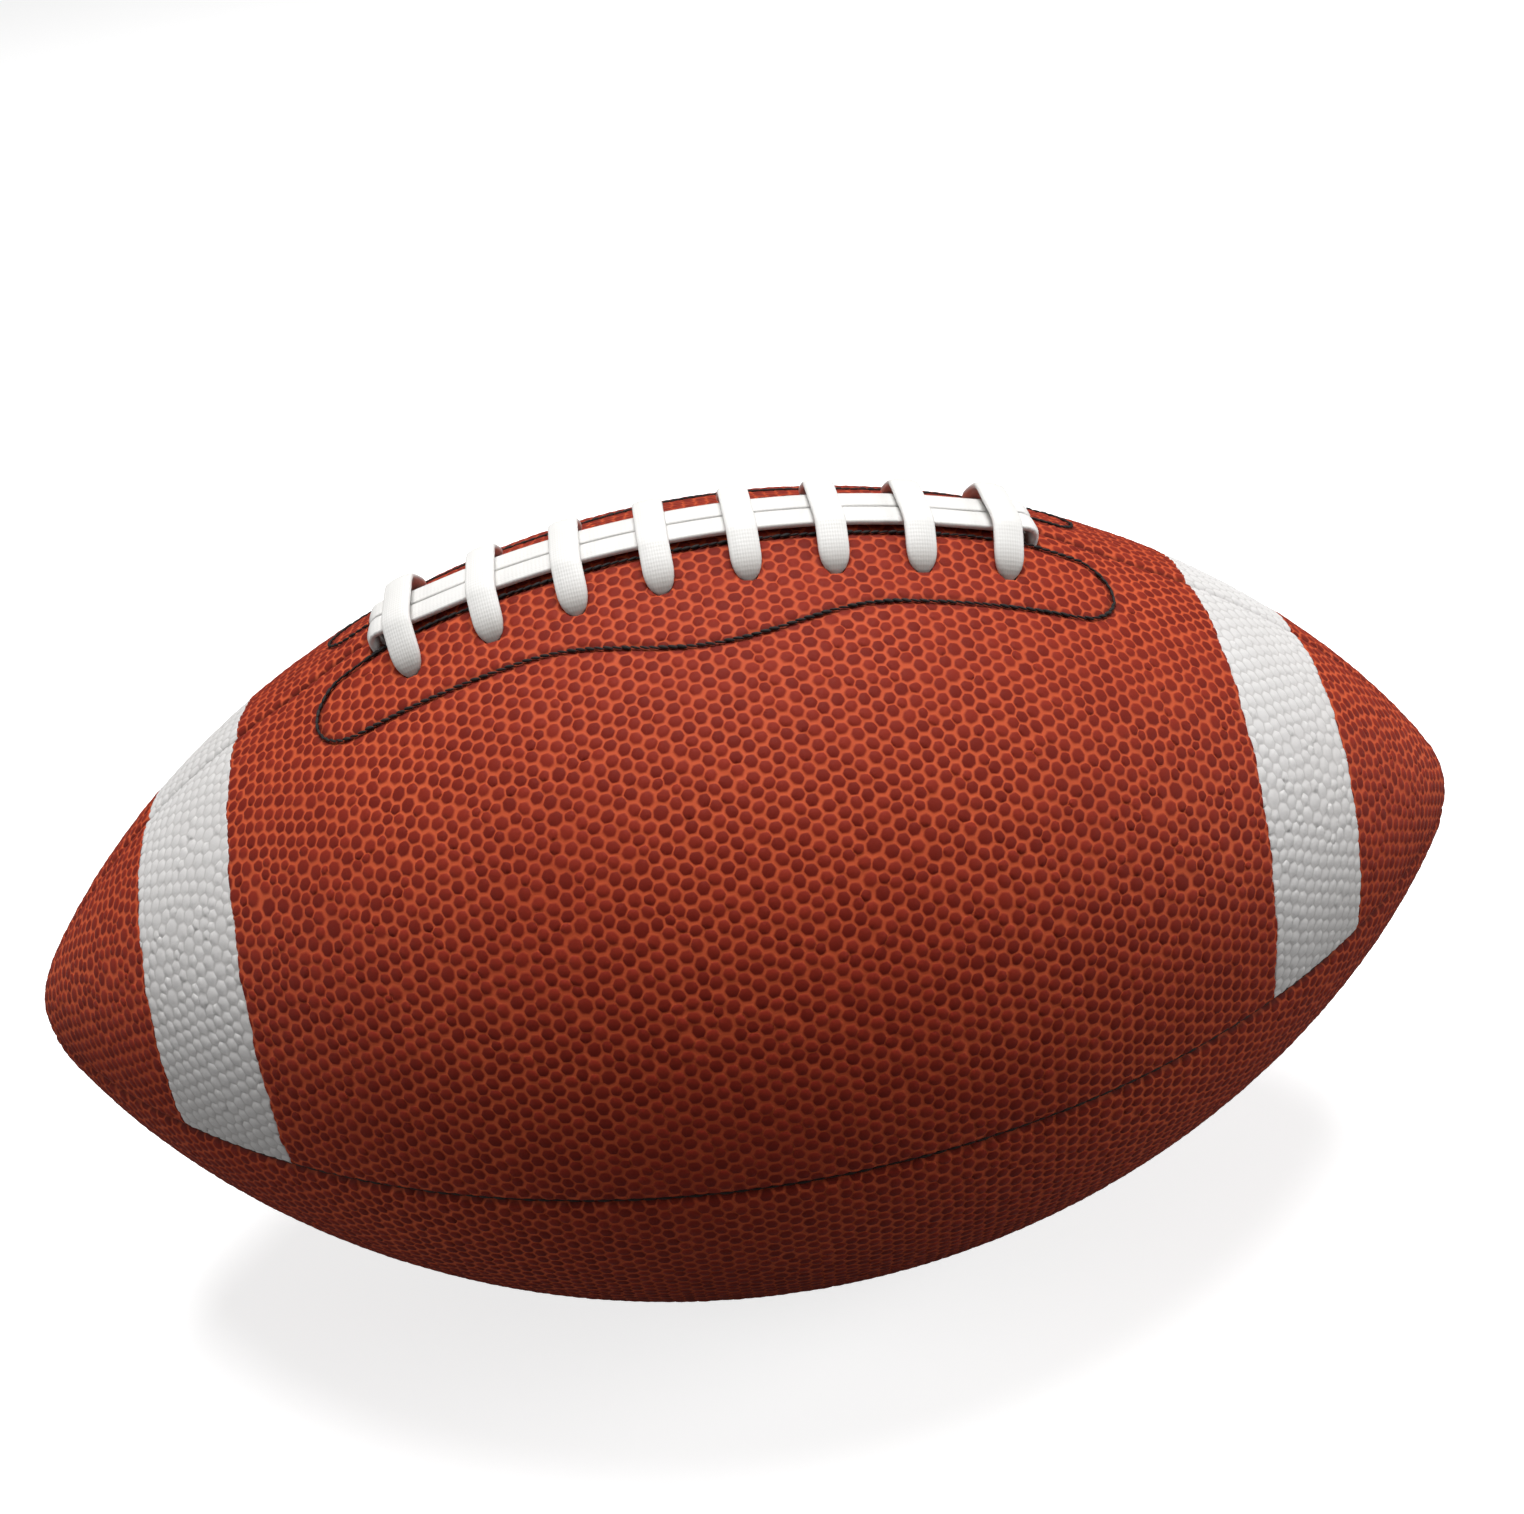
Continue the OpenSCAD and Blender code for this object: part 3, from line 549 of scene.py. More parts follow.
def off_stitching(flat):
    """Distance of places on the front upper quarter from the facing stitching."""
    far = np.full(len(flat), FAR_OFF)
    near = (np.abs(flat[:, 0]) < FACING_REACH + STITCH_ZONE)
    near &= flat[:, 1] < FACING_WAIST + FACING_BULGE + STITCH_ZONE
    chosen = flat[near]
    best = far[near]
    for start, end in zip(STITCH_LOOP, np.roll(STITCH_LOOP, -1, 0)):
        way = end - start
        share = np.clip(((chosen - start) @ way) / (way @ way), 0, 1)
        best = np.minimum(best, np.linalg.norm(chosen - start - share[:, None] * way, axis=1))
    far[near] = best
    return far


def roll_depth(gap):
    """How deep the rolled edge lies at a distance from the seam."""
    inside = np.clip(ROLL_MIDDLE - gap, 0, None)
    depth = ROLL_MIDDLE - np.sqrt(np.clip(EDGE_ROLL**2 - inside**2, 0, None))
    return np.clip(depth, 0, None)


def lay_of_leather(points, laced):
    """Height of the leather without its pebbles, and how much of their relief shows, which also
    sets where shade is painted in the seams and along the stitching.
    """
    gaps = np.abs(points[:, 1]), np.abs(points[:, 2])
    run = run_at(points[:, 0])
    high, calm_and_shade = np.zeros(len(points)), np.ones(len(points))
    for k, gap in enumerate(gaps):
        pull = (1 + np.sin(2 * np.pi * run / PUCKER_PITCH + 2 * k)) / 2
        high -= PUCKER_DEEP * pull * np.exp(-gap / PUCKER_REACH)
        high -= SEAM_SINK * np.exp(-gap / SEAM_SINK_REACH)
        calm_and_shade *= SEAM_CALM + (1 - SEAM_CALM) * smooth_step(*SEAM_CALM_GAPS, gap)
    high -= np.maximum(roll_depth(gaps[0]), roll_depth(gaps[1]))
    if laced:
        flat = beside_seam(points)
        off = off_stitching(flat)
        high -= GROOVE_DEEP * np.exp(-((off / GROOVE_REACH) ** 2))
        calm_and_shade *= 1 - GROOVE_CALM * np.exp(-((off / GROOVE_CALM_REACH) ** 2))
        high += ridge(flat[:, 0], flat[:, 1])
        for i in range(BAR_COUNT):
            gap = np.hypot(flat[:, 0] - (BAR_PITCH * i - LAST_BAR), flat[:, 1] - HOLE_SIDE)
            high -= DIMPLE_DEEP * np.exp(-((gap / DIMPLE_REACH) ** 2))
    return high, calm_and_shade


def edge_keys(edges, size):
    """One number for each directed edge."""
    return edges[:, 0].astype(np.int64) * size + edges[:, 1]


def border_of(faces):
    """The directed edges that only one face has."""
    edges = np.vstack([faces[:, [0, 1]], faces[:, [1, 2]], faces[:, [2, 0]]])
    size = int(faces.max()) + 1
    return edges[~np.isin(edge_keys(edges, size), edge_keys(edges[:, ::-1], size))]


def inside_border(faces, edges):
    """Keeps the faces inside a border: along it they run the border's way."""
    net = {}
    for a, b in edges.tolist():
        if a != b:
            net[a, b] = net.get((a, b), 0) + 1
            net[b, a] = net.get((b, a), 0) - 1
    border = {edge: count for edge, count in net.items() if count}
    rows = faces.tolist()
    beside = {(f[k], f[(k + 1) % 3]): at for at, f in enumerate(rows) for k in range(3)}
    part, votes = [-1] * len(rows), []
    for first in range(len(rows)):
        if part[first] >= 0:
            continue
        part[first], waiting, vote = len(votes), [first], 0
        while waiting:
            face = rows[waiting.pop()]
            for k in range(3):
                a, b = face[k], face[(k + 1) % 3]
                if (a, b) in border:
                    vote += border[a, b]
                    continue
                other = beside.get((b, a), -1)
                if other < 0:
                    vote -= 1
                elif part[other] < 0:
                    part[other] = part[first]
                    waiting.append(other)
        votes.append(vote)
    return faces[np.array(votes)[part] > 0]


def fill(points, edges, inner):
    """Triangles inside closed borders, with some inner points, and each border point's twin.

    Two border points that are too close for the triangulation become one, the first's twin.
    """
    used, local = np.unique(edges, return_inverse=True)
    local = local.reshape(-1, 2)
    everything = np.vstack([points[used], inner])
    flat = np.stack([map_of(run_at(everything[:, 0])), turn_of(everything)], -1)
    found = delaunay_2d_cdt([Vector(p) for p in flat.tolist()], local.tolist(), [], 1, 1e-8, True)
    source = np.array([s[0] if s else -1 for s in found[3]])
    twin = np.arange(len(everything))
    for same in found[3]:
        twin[same] = same[0] if same else 0
    faces = source[np.array(found[2])]
    faces = faces[(faces >= 0).all(1)][:, ::-1]
    return used, inside_border(faces, twin[local]), used[twin[: len(used)]]


class Piece:
    """Vertices with their place on the ball, height and pebble, and faces with their shading."""

    def __init__(self):
        self.points = np.zeros((0, 3))
        self.known = np.zeros((0, len(KNOWN)))
        self.high = np.zeros(0)
        self.calm_and_shade = np.zeros(0)
        self.faces = np.zeros((0, 3), int)
        self.smooth = np.zeros(0, bool)

    def add_points(self, points, high, known=NO_PEBBLE, calm_and_shade=0.0):
        start, count = len(self.points), len(points)
        self.points = np.vstack([self.points, points])
        self.known = np.vstack([self.known, np.broadcast_to(known, (count, len(KNOWN)))])
        self.high = np.concatenate([self.high, np.broadcast_to(high, count)])
        self.calm_and_shade = np.concatenate([self.calm_and_shade, np.broadcast_to(calm_and_shade, count)])
        return start + np.arange(count)

    def add_faces(self, faces, smooth):
        faces = faces[(faces != np.roll(faces, 1, 1)).all(1)]
        self.faces = np.vstack([self.faces, faces])
        self.smooth = np.concatenate([self.smooth, np.full(len(faces), smooth)])

    def sink_rim(self, edges, depth):
        """A second row of points below the ends of some edges, told by the ends."""
        rim = np.unique(edges)
        below = np.zeros(len(self.points), int)
        below[rim] = self.add_points(self.points[rim], self.high[rim] - depth)
        return below

    def add_floor(self, edges, below, inner, high, outward):
        """A plain face between the points below some edges, and where those points went."""
        border, faces, twins = fill(self.points, below[edges], inner)
        merged = np.arange(len(self.points))
        merged[border] = twins
        extra = self.add_points(inner, high)
        made = np.concatenate([border, extra])[faces]
        self.add_faces(made if outward else made[:, ::-1], not outward)
        return merged[below]

    def add_walls(self, edges, below):
        """Walls from some edges down to the points below them."""
        a, b = edges.T
        self.add_faces(np.stack([b, a, below[a]], -1), False)
        self.add_faces(np.stack([b, below[a], below[b]], -1), False)


def close_below(piece, depth, inner):
    """Walls down from the open borders, and a smooth inner face."""
    edges = border_of(piece.faces)
    used = np.unique(edges)
    spots, spot_of = np.unique(np.round(piece.points[used], 4), axis=0, return_inverse=True)
    low = piece.add_points(spots, -depth)
    below = np.zeros(len(piece.points), int)
    below[used] = low[spot_of.reshape(-1)]
    piece.add_walls(edges, piece.add_floor(edges, below, inner, -depth, False))


def inner_grid(pitch, low_x, high_x):
    """A coarse grid of points inside the front upper quarter, clear of its seams."""
    found = []
    end = HALF_RUN - GRID_END
    for run in np.linspace(-end, end, int(2 * end / pitch)):
        x, radius, _ = outline(run)
        if not low_x + GRID_SIDE < x < high_x - GRID_SIDE or radius < GRID_THINNEST:
            continue
        edge = GRID_SEAM / float(radius)
        span = math.pi / 2 - 2 * edge
        count = max(int(span * radius / pitch), 1)
        turn = edge + (np.arange(count) + 0.5) / count * span
        found.append(on_ball(np.full(count, run), turn, 0.0))
    return np.vstack(found)


def clear_of_holes(points):
    clear = np.ones(len(points), bool)
    for middle, _ in LACE_HOLES:
        clear &= np.linalg.norm(points - middle, axis=1) > HOLE_CLEAR
    return points[clear]


def coat_bed(side):
    """Points between coat and leather, with their heights."""
    inner = inner_grid(COAT_GRID, *sorted((side * STRIPE_START, side * STRIPE_END)))
    return inner, lay_of_leather(inner, False)[0] - COAT_THICK


def stripe_piece(skin, wanted, side):
    """One coat: its pebbled face, rim and underside."""
    piece = Piece()
    used, local = np.unique(skin.faces[wanted], return_inverse=True)
    high, calm_and_shade = lay_of_leather(skin.points[used], False)
    piece.add_points(skin.points[used], high, skin.known[used], calm_and_shade)
    piece.add_faces(local.reshape(-1, 3), True)
    edges = border_of(piece.faces)
    below = piece.sink_rim(edges, COAT_THICK)
    piece.add_walls(edges, piece.add_floor(edges, below, *coat_bed(side), False))
    return piece


def panel_piece(skin, laced, stripes):
    """One leather panel: its pebbled face, the recesses below the stripes, rim and back."""
    piece = Piece()
    on_stripe = np.zeros(len(skin.faces), bool)
    for wanted in stripes:
        on_stripe |= wanted
    high, calm_and_shade = lay_of_leather(skin.points, laced)
    piece.add_points(skin.points, high, skin.known, calm_and_shade)
    piece.add_faces(skin.faces[~on_stripe], True)
    leather = border_of(skin.faces[~on_stripe])
    for side, wanted in zip((-1, 1), stripes):
        edges = border_of(skin.faces[wanted])
        below = piece.sink_rim(edges, COAT_THICK)
        below = piece.add_floor(edges, below, *coat_bed(side), True)
        # Where leather meets the coat, a wall goes down to the recess
        size = len(skin.points)
        back = edges[:, ::-1]
        shared = np.isin(edge_keys(back, size), edge_keys(leather, size))
        piece.add_walls(back[shared], below)
    inner = inner_grid(BACK_GRID, -HALF_LENGTH, HALF_LENGTH)
    close_below(piece, LEATHER_THICK, clear_of_holes(inner) if laced else inner)
    return piece


def fast_mesh(name, points, faces, smooth=None):
    mesh = bpy.data.meshes.new(name)
    mesh.vertices.add(len(points))
    mesh.vertices.foreach_set("co", np.ascontiguousarray(points, np.float32).ravel())
    mesh.loops.add(faces.size)
    mesh.loops.foreach_set("vertex_index", np.ascontiguousarray(faces, np.int32).ravel())
    mesh.polygons.add(len(faces))
    starts = np.arange(0, faces.size, faces.shape[1], dtype=np.int32)
    mesh.polygons.foreach_set("loop_start", starts)
    if smooth is not None:
        mesh.polygons.foreach_set("use_smooth", smooth)
    mesh.update(calc_edges=True)
    mesh.validate()
    return mesh


def to_row(points):
    """From millimetres off the ball's middle to metres in the row's frame."""
    return (points + [0, 0, HALF_WIDTH]) * MM


def facing_out(points, faces):
    """The faces, turned over if they face inwards."""
    a, b, c = points[faces].transpose(1, 0, 2)
    return faces if (a * np.cross(b, c)).sum() > 0 else faces[:, ::-1]


def new_object(name, mesh):
    piece = bpy.data.objects.new(name, mesh)
    bpy.context.scene.collection.objects.link(piece)
    return piece


def add_float(mesh, name, values):
    layer = mesh.attributes.new(name, "FLOAT", "POINT")
    layer.data.foreach_set("value", np.asarray(values, np.float32))


def add_vector(mesh, name, values):
    layer = mesh.attributes.new(name, "FLOAT_VECTOR", "POINT")
    layer.data.foreach_set("vector", np.ascontiguousarray(values, np.float32).ravel())


def finish_piece(name, piece, flip_y, flip_z, material, node, relief=PEBBLE_HIGH):
    """Turns a piece of the front upper quarter to its own quarter and makes it an object."""
    used, local = np.unique(piece.faces, return_inverse=True)
    faces = local.reshape(-1, 3)
    points = piece.points[used]
    run, turn = run_at(points[:, 0]), turn_of(points)
    shown = on_ball(run, turn, piece.high[used])
    out = out_of_ball(outline(run)[2], turn)
    mirror = np.array([1, -1 if flip_y else 1, -1 if flip_z else 1])
    shown, out = shown * mirror, out * mirror
    mesh = fast_mesh(name, to_row(shown), facing_out(shown, faces), piece.smooth)
    for k, label in enumerate(KNOWN):
        add_float(mesh, label, piece.known[used, k])
    add_float(mesh, "calm_and_shade", piece.calm_and_shade[used])
    add_vector(mesh, "out", out)
    made = new_object(name, mesh)
    grow(made, PEBBLE_TREE, {"Height": relief * MM, "Finish": material})
    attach(made, "root")
    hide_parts(node)


# Geometry Nodes

FLOAT = "NodeSocketFloat"
GEOMETRY = ("Geometry", "NodeSocketGeometry")


def new_group(kind, name, inputs, outputs):
    """A group of nodes, what it is given and what it gives back."""
    tree = bpy.data.node_groups.new(name, kind)
    for label, socket, *value in inputs:
        made = tree.interface.new_socket(label, in_out="INPUT", socket_type=socket)
        if value:
            made.default_value = value[0]
    for label, socket in outputs:
        tree.interface.new_socket(label, in_out="OUTPUT", socket_type=socket)
    given, out = tree.nodes.new("NodeGroupInput"), tree.nodes.new("NodeGroupOutput")
    return tree, given.outputs, out.inputs


def shape_group(name, *values):
    """A group that reshapes a piece, with its own values besides the piece and its finish."""
    inputs = [GEOMETRY, *values, ("Finish", "NodeSocketMaterial")]
    return new_group("GeometryNodeTree", name, inputs, [GEOMETRY])


def add_node(tree, kind, settings=None, **inputs):
    node = tree.nodes.new(kind)
    for key, value in (settings or {}).items():
        setattr(node, key, value)
    for key, value in inputs.items():
        numbered = key[0] == "i" and key[1:].isdigit()
        socket = node.inputs[int(key[1:]) if numbered else key]
        if isinstance(value, bpy.types.NodeSocket):
            tree.links.new(value, socket)
        else:
            socket.default_value = value
    return node


def sums(tree, kind, first, second=0.0):
    return add_node(tree, "ShaderNodeMath", {"operation": kind}, i0=first, i1=second).outputs[0]


def named(tree, name, kind="FLOAT"):
    node = add_node(tree, "GeometryNodeInputNamedAttribute", {"data_type": kind}, Name=name)
    return node.outputs["Attribute"]


def grow(piece, tree, values):
    """Runs a tree on a piece and keeps the result as its plain mesh."""
    modifier = piece.modifiers.new("shape", "NODES")
    modifier.node_group = tree
    for item in tree.interface.items_tree:
        if item.item_type == "SOCKET" and item.in_out == "INPUT" and item.name in values:
            modifier[item.identifier] = values[item.name]
    graph = bpy.context.evaluated_depsgraph_get()
    mesh = bpy.data.meshes.new_from_object(
        piece.evaluated_get(graph), preserve_all_data_layers=True, depsgraph=graph
    )
    old = piece.data
    piece.modifiers.remove(modifier)
    piece.data = mesh
    bpy.data.meshes.remove(old)
    mesh.name = piece.name


def push_out(tree, geometry, high):
    """Moves each point along its own outward direction."""
    way = named(tree, "out", "FLOAT_VECTOR")
    offset = add_node(
        tree, "ShaderNodeVectorMath", {"operation": "SCALE"}, Vector=way, Scale=high
    ).outputs[0]
    moved = add_node(tree, "GeometryNodeSetPosition", Geometry=geometry, Offset=offset)
    return moved.outputs[0]


def end_shape(tree, geometry, given, out):
    real = add_node(tree, "GeometryNodeRealizeInstances", i0=geometry).outputs[0]
    dressed = add_node(tree, "GeometryNodeSetMaterial", Geometry=real, Material=given["Finish"])
    tree.links.new(dressed.outputs[0], out[0])
    return tree


def pebble_tree():
    """Raises each pebble out of the leather, a little higher at its middle."""
    tree, given, out = shape_group(
        "pebble_relief", ("Height", FLOAT), ("Variation", FLOAT, PEBBLE_UNEVEN),
        ("Crown", FLOAT, PEBBLE_CROWN),
    )
    dot, crown, tone, calm_and_shade = (named(tree, n) for n in ("dot", "crown", "tone", "calm_and_shade"))
    flank = sums(tree, "MULTIPLY", dot, sums(tree, "SUBTRACT", 1.0, given["Crown"]))
    shape = sums(tree, "ADD", flank, sums(tree, "MULTIPLY", crown, given["Crown"]))
    vary = sums(tree, "MULTIPLY", sums(tree, "SUBTRACT", tone, 0.5), given["Variation"])
    shape = sums(tree, "MULTIPLY", shape, sums(tree, "ADD", vary, 1.0))
    high = sums(tree, "MULTIPLY", shape, sums(tree, "MULTIPLY", calm_and_shade, given["Height"]))
    return end_shape(tree, push_out(tree, given["Geometry"], high), given, out)


def stitch_tree():
    """Lays one round-ended stitch along each point's way."""
    tree, given, out = shape_group(
        "laid_stitches", ("Length", FLOAT), ("Thickness", FLOAT),
        ("Unevenness", FLOAT, THREAD_UNEVEN), ("Seed", "NodeSocketInt"),
    )
    grain = add_node(tree, "GeometryNodeMeshUVSphere", Segments=8, Rings=7, Radius=0.5).outputs[0]
    way = named(tree, "way", "FLOAT_VECTOR")
    turn = add_node(tree, "FunctionNodeAlignRotationToVector", {"axis": "Z"}, Vector=way)
    low = sums(tree, "SUBTRACT", 1.0, given["Unevenness"])
    high = sums(tree, "ADD", 1.0, given["Unevenness"])
    uneven = add_node(
        tree, "FunctionNodeRandomValue", {"data_type": "FLOAT"}, Seed=given["Seed"], i2=low, i3=high
    )
    thick = sums(tree, "MULTIPLY", given["Thickness"], uneven.outputs[1])
    size = add_node(tree, "ShaderNodeCombineXYZ", X=thick, Y=thick, Z=given["Length"]).outputs[0]
    laid = add_node(
        tree, "GeometryNodeInstanceOnPoints", Points=given["Geometry"], Instance=grain,
        Rotation=turn.outputs[0], Scale=size,
    )
    real = add_node(tree, "GeometryNodeRealizeInstances", i0=laid.outputs[0]).outputs[0]
    soft = add_node(tree, "GeometryNodeSetShadeSmooth", Geometry=real).outputs[0]
    return end_shape(tree, soft, given, out)


def lace_tree():
    """Fine ribs along the lace."""
    tree, given, out = shape_group(
        "ribbed_lace", ("Depth", FLOAT, RIB_DEPTH * MM), ("Pitch", FLOAT, RIB_PITCH)
    )
    ribs = sums(tree, "DIVIDE", named(tree, "across"), given["Pitch"])
    angle = sums(tree, "MULTIPLY", ribs, 2 * math.pi)
    high = sums(tree, "MULTIPLY", sums(tree, "COSINE", angle), given["Depth"])
    moved = push_out(tree, given["Geometry"], high)
    soft = add_node(tree, "GeometryNodeSetShadeSmooth", Geometry=moved).outputs[0]
    return end_shape(tree, soft, given, out)


PEBBLE_TREE = pebble_tree()
STITCH_TREE = stitch_tree()
LACE_TREE = lace_tree()

# Materials


def mix_colour(tree, share, first, second):
    return add_node(
        tree, "ShaderNodeMix", {"data_type": "RGBA"}, i0=share, i6=first, i7=second
    ).outputs[2]


def noise(tree, where, scale, detail=4.0, roughness=0.55):
    return add_node(
        tree, "ShaderNodeTexNoise", Vector=where, Scale=scale, Detail=detail, Roughness=roughness
    ).outputs[0]


def to_range(tree, value, low, high, new_low, new_high):
    return add_node(
        tree, "ShaderNodeMapRange", {"clamp": True},
        i0=value, i1=low, i2=high, i3=new_low, i4=new_high,
    ).outputs[0]


def object_place(tree):
    return tree.nodes.new("ShaderNodeTexCoord").outputs["Object"]


def blotch_group():
    """Slow patches of lighter and darker dye, and a fine grain for the bump."""
    scales = [("Patch Scale", FLOAT), ("Grain Scale", FLOAT)]
    results = [("Patch", FLOAT), ("Grain", FLOAT)]
    tree, given, out = new_group("ShaderNodeTree", "dye_and_grain", scales, results)
    where = object_place(tree)
    tree.links.new(noise(tree, where, given["Patch Scale"], 3.0), out["Patch"])
    tree.links.new(noise(tree, where, given["Grain Scale"], 5.0, 0.65), out["Grain"])
    return tree


def weave_group():
    """Crossed threads: a height, and a mask of the gaps between threads."""
    results = [("Height", FLOAT), ("Gap", FLOAT)]
    tree, given, out = new_group(
        "ShaderNodeTree", "crossed_threads", [("Threads", FLOAT)], results
    )
    parts = add_node(tree, "ShaderNodeSeparateXYZ", i0=object_place(tree))
    waves = []
    for axis in (0, 1, 2):
        turn = sums(tree, "MULTIPLY", parts.outputs[axis], given["Threads"])
        waves.append(sums(tree, "ABSOLUTE", sums(tree, "SINE", turn)))
    low = sums(tree, "MINIMUM", sums(tree, "MINIMUM", waves[0], waves[1]), waves[2])
    high = sums(tree, "MAXIMUM", waves[0], waves[1])
    tree.links.new(high, out["Height"])
    tree.links.new(to_range(tree, low, 0.0, 0.3, 1.0, 0.0), out["Gap"])
    return tree


DYE = blotch_group()
WEAVE = weave_group()


def new_material(name, **settings):
    material = bpy.data.materials.new(name)
    material.use_nodes = True
    tree = material.node_tree
    shader = tree.nodes["Principled BSDF"]
    for key, value in settings.items():
        shader.inputs[key.replace("_", " ")].default_value = value
    return material, tree, shader


def use_group(tree, group, **inputs):
    node = tree.nodes.new("ShaderNodeGroup")
    node.node_tree = group
    for key, value in inputs.items():
        node.inputs[key.replace("_", " ")].default_value = value
    return node.outputs


def attribute(tree, name):
    return add_node(tree, "ShaderNodeAttribute", {"attribute_name": name}).outputs["Fac"]


def rgb(red, green, blue):
    return (red, green, blue, 1.0)


def grey(value):
    return rgb(value, value, value)


def dyed(name, first, second, patches, grain, gloss, matt, **settings):
    """A material with slow patches between two colours, a fine grain and uneven gloss."""
    material, tree, shader = new_material(name, **settings)
    dye = use_group(tree, DYE, Patch_Scale=patches, Grain_Scale=grain)
    patch = to_range(tree, dye["Patch"], 0.3, 0.7, 0.0, 1.0)
    colour = mix_colour(tree, patch, rgb(*first), rgb(*second))
    rough = to_range(tree, dye["Grain"], 0.2, 0.8, gloss, matt)
    tree.links.new(rough, shader.inputs["Roughness"])
    return material, tree, shader, colour, dye["Grain"]


def end_material(material, tree, shader, colour, height, strength, distance=0.0001):
    tree.links.new(colour, shader.inputs["Base Color"])
    bump = add_node(tree, "ShaderNodeBump", Strength=strength, Distance=distance, Height=height)
    tree.links.new(bump.outputs[0], shader.inputs["Normal"])
    return material


def leather_material():
    """Two tones: dark raised dots in a brighter net, patchy, with a fine grain, and painted shade
    in the seams and along the stitching.
    """
    material, tree, shader, net, grain = dyed(
        "pebbled_leather", (0.43, 0.062, 0.021), (0.53, 0.088, 0.030), 26.0, 2600.0, 0.58, 0.78,
        Specular_IOR_Level=0.12, Sheen_Weight=0.02, Sheen_Roughness=0.5,
    )
    inward = sums(tree, "ADD", attribute(tree, "dot"), attribute(tree, "crown"))
    tone = attribute(tree, "tone")
    wide = to_range(tree, tone, 0.0, 1.0, 0.18, 0.38)
    dot = add_node(
        tree, "ShaderNodeMapRange", {"interpolation_type": "SMOOTHSTEP"},
        i0=inward, i1=wide, i2=sums(tree, "ADD", wide, 0.8), i3=0.0, i4=1.0,
    ).outputs[0]
    top = mix_colour(tree, tone, rgb(0.154, 0.0108, 0.0045), rgb(0.226, 0.0194, 0.0081))
    # Painted shade: darker in the seam creases and under and beside the stitching, following the
    # same mask that flattens the pebbles there.
    shade = to_range(tree, attribute(tree, "calm_and_shade"), 0.15, 0.95, 0.62, 0.0)
    colour = mix_colour(tree, shade, mix_colour(tree, dot, net, top), rgb(0.06, 0.006, 0.003))
    return end_material(material, tree, shader, colour, grain, 0.25)


def coat_material():
    """White paint, with painted shade that makes it a little greyer in the valleys between pebbles.
    """
    material, tree, shader, top, grain = dyed(
        "white_coat", (0.585, 0.57, 0.56), (0.64, 0.628, 0.62), 40.0, 2200.0, 0.55, 0.75,
        Specular_IOR_Level=0.12,
    )
    # Painted shade: the valleys between the pebbles greyer than their tops
    dot = to_range(tree, attribute(tree, "dot"), 0.0, 0.8, 0.0, 1.0)
    colour = mix_colour(tree, dot, rgb(0.465, 0.45, 0.44), top)
    return end_material(material, tree, shader, colour, grain, 0.2)


def lace_material():
    """White coated lace: fine ribs both ways, and painted shade that darkens it where it goes into
    its holes.
    """
    material, tree, shader, white, grain = dyed(
        "ribbed_white_lace", (0.68, 0.67, 0.65), (0.74, 0.73, 0.71), 60.0, 1800.0, 0.4, 0.6,
        Specular_IOR_Level=0.35,
    )
    height = grain
    for label, pitch, strength in (("along", 0.7, 0.3), ("across", 0.45, 0.25)):
        turn = sums(tree, "MULTIPLY", attribute(tree, label), 2 * math.pi / pitch)
        ribs = sums(tree, "MULTIPLY", sums(tree, "SINE", turn), strength)
        height = sums(tree, "ADD", height, ribs)
    # Painted shade towards the holes, where the bars dive into the leather
    painted_hole_shade = sums(tree, "MULTIPLY", attribute(tree, "painted_hole_shade"), 0.65)
    colour = mix_colour(tree, painted_hole_shade, white, rgb(0.26, 0.235, 0.21))
    return end_material(material, tree, shader, colour, height, 0.25)


def thread_material(name, colour):
    lighter = [c * 1.8 + 0.004 for c in colour]
    made = dyed(name, colour, lighter, 150.0, 3000.0, 0.6, 0.9, Specular_IOR_Level=0.3)
    return end_material(*made, 0.4)


def rubber_material(name, colour, gloss):
    darker = [c * 0.75 for c in colour]
    made = dyed(name, darker, colour, 30.0, 900.0, gloss, gloss + 0.15, Specular_IOR_Level=0.4)
    return end_material(*made, 0.15)


def cloth_material(name, colour, threads, sheen):
    material, tree, shader = new_material(name, Sheen_Weight=sheen, Specular_IOR_Level=0.2)
    weave = use_group(tree, WEAVE, Threads=threads)
    darker = rgb(*(c * 0.55 for c in colour))
    woven = mix_colour(tree, weave["Gap"], rgb(*colour), darker)
    rough = to_range(tree, weave["Height"], 0.0, 1.0, 0.95, 0.8)
    tree.links.new(rough, shader.inputs["Roughness"])
    return end_material(material, tree, shader, woven, weave["Height"], 0.5, 0.0002)


LEATHER = leather_material()
COAT = coat_material()
LACE_WHITE = lace_material()
BLACK_THREAD = thread_material("black_thread", (0.008, 0.007, 0.007))
SEAM_THREAD = thread_material("seam_thread", (0.016, 0.009, 0.007))

# Panels and stripes

